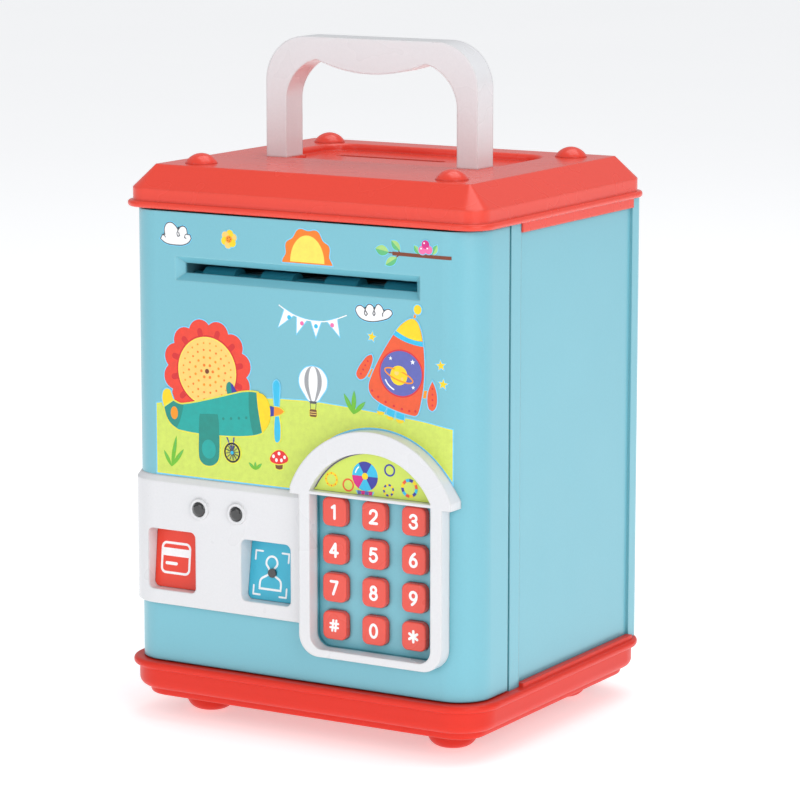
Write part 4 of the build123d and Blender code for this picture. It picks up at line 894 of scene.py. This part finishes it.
# raised marks on the keys, drawn in a box 1 high
MARKS = {
    "0": [],
    "1": [[(-0.17, 0.34), (0.06, 0.5), (0.06, -0.5)]],
    "2": [smooth([(-0.29, 0.24), (-0.21, 0.42), (0, 0.5), (0.22, 0.42), (0.28, 0.2), (0.16, -0.06),
                  (-0.3, -0.5)], closed=False) + [(0.31, -0.5)]],
    "3": [smooth([(-0.27, 0.32), (-0.15, 0.46), (0.03, 0.5), (0.22, 0.4), (0.25, 0.22), (0.15, 0.07),
                  (-0.06, 0.03)], closed=False),
          smooth([(-0.06, 0.03), (0.2, -0.04), (0.3, -0.22), (0.22, -0.42), (0, -0.5), (-0.2, -0.44),
                  (-0.3, -0.27)], closed=False)],
    "4": [[(0.13, -0.5), (0.13, 0.5), (-0.32, -0.2), (0.33, -0.2)]],
    "5": [[(0.25, 0.5), (-0.2, 0.5), (-0.26, 0.02)],
          smooth([(-0.26, 0.02), (-0.06, 0.13), (0.17, 0.08), (0.3, -0.16), (0.2, -0.4), (-0.02, -0.5),
                  (-0.2, -0.45), (-0.3, -0.3)], closed=False)],
    "6": [smooth([(-0.28, -0.18), (-0.22, 0.1), (-0.06, 0.34), (0.12, 0.5)], closed=False)],
    "7": [[(-0.29, 0.5), (0.29, 0.5), (-0.08, -0.5)]],
    "8": [],
    "hash": [[(-0.34, 0.16), (0.36, 0.16)], [(-0.36, -0.16), (0.34, -0.16)],
             [(-0.08, 0.42), (-0.18, -0.42)], [(0.2, 0.42), (0.1, -0.42)]],
    "star": [[(0, 0.42), (0, -0.42)], [(-0.34, 0.21), (0.34, -0.21)], [(-0.34, -0.21), (0.34, 0.21)]],
}
MARKS["9"] = [[(-u, -v) for u, v in line] for line in MARKS["6"]]
RINGS = {
    "0": [(0, 0, 0.3, 0.5)],
    "6": [(0, -0.2, 0.28, 0.3)],
    "8": [(0, 0.26, 0.22, 0.24), (0, -0.23, 0.28, 0.27)],
    "9": [(0, 0.2, 0.28, 0.3)],
}
MARK_H, MARK_W, HASH_W = 4.1, 0.88, 0.72
MARK_RAISE = 3  # how many times thicker than ink a mark is
KEY_ROWS = (("1", "2", "3"), ("4", "5", "6"), ("7", "8", "9"), ("hash", "0", "star"))


def on_key(u, v, h):
    """A key's flat face."""
    return u, KEY_FACE_Y - h * MARK_RAISE, v


for row in KEY_ROWS:
    for label in row:
        low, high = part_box("key_" + label)
        centre = (low + high) / 2 / MM
        mark = Sheet("mark_" + label, "key_" + label, on_key, "white_plastic")
        for line in MARKS[label]:
            path = [(centre.x + MARK_H * u, centre.z + MARK_H * v) for u, v in line]
            mark.pen("white", path, HASH_W if label == "hash" else MARK_W, 1)
        for u, v, ru, rv in RINGS.get(label, []):
            outer, inner = (
                disc(centre.x + MARK_H * u, centre.z + MARK_H * v, MARK_H * ru + half, MARK_H * rv + half)
                for half in (MARK_W / 2, -MARK_W / 2))
            mark.band("white", outer, inner)
        mark.finish()

# ---------------------------------------------------------------- floor, light and camera
floor_bm = bmesh.new()
bmesh.ops.create_grid(floor_bm, x_segments=8, y_segments=8, size=14.0)
floor_mesh = bpy.data.meshes.new("floor")
floor_bm.to_mesh(floor_mesh)
floor_bm.free()
floor = bpy.data.objects.new("floor", floor_mesh)
bpy.context.scene.collection.objects.link(floor)
n = Nodes("floor_paper")
paper = n.mixed(n.noise(3, 2), linear((246, 246, 247)), linear((250, 250, 250)))
n.link(paper, n.shader.inputs["Base Color"])
n.sockets(Roughness=0.7, Emission_Color=(1, 1, 1, 1), Emission_Strength=0.43)
floor_mesh.materials.append(n.material)

world = bpy.data.worlds.new("studio")
world.use_nodes = True
world.node_tree.nodes["Background"].inputs["Color"].default_value = (0.95, 0.97, 1.0, 1.0)
world.node_tree.nodes["Background"].inputs["Strength"].default_value = 0.5
bpy.context.scene.world = world

TOY_MIDDLE = Vector((0, 0, 0.1))


def softbox(name, place, size, watts):
    """A rectangular lamp that faces the middle of the toy."""
    light = bpy.data.lights.new(name, "AREA")
    light.shape, light.size, light.size_y = "RECTANGLE", size[0], size[1]
    light.energy = watts
    lamp = bpy.data.objects.new(name, light)
    lamp.location = place
    lamp.rotation_euler = (TOY_MIDDLE - Vector(place)).to_track_quat("-Z", "Y").to_euler()
    bpy.context.scene.collection.objects.link(lamp)


softbox("key_right", (1.15, -0.7, 0.6), (0.8, 0.9), 6.0)
softbox("fill_left", (-0.35, -1.4, 0.5), (0.9, 0.9), 3.0)
softbox("top", (0.1, 0.2, 1.2), (0.9, 0.9), 5.5)

CAMERA_RISE, CAMERA_TURN = 9.951, 30.671  # degrees above the horizon, and round from the front to the right
camera = bpy.data.objects.new("camera", bpy.data.cameras.new("camera"))
camera.data.lens = 160.12
camera.data.sensor_width = 36
camera.location = (0.5960, -0.9971, 0.3064)
camera.rotation_euler = (math.radians(90 - CAMERA_RISE), 0, math.radians(CAMERA_TURN))
bpy.context.scene.collection.objects.link(camera)
bpy.context.scene.camera = camera
bpy.context.scene.view_settings.view_transform = "Standard"
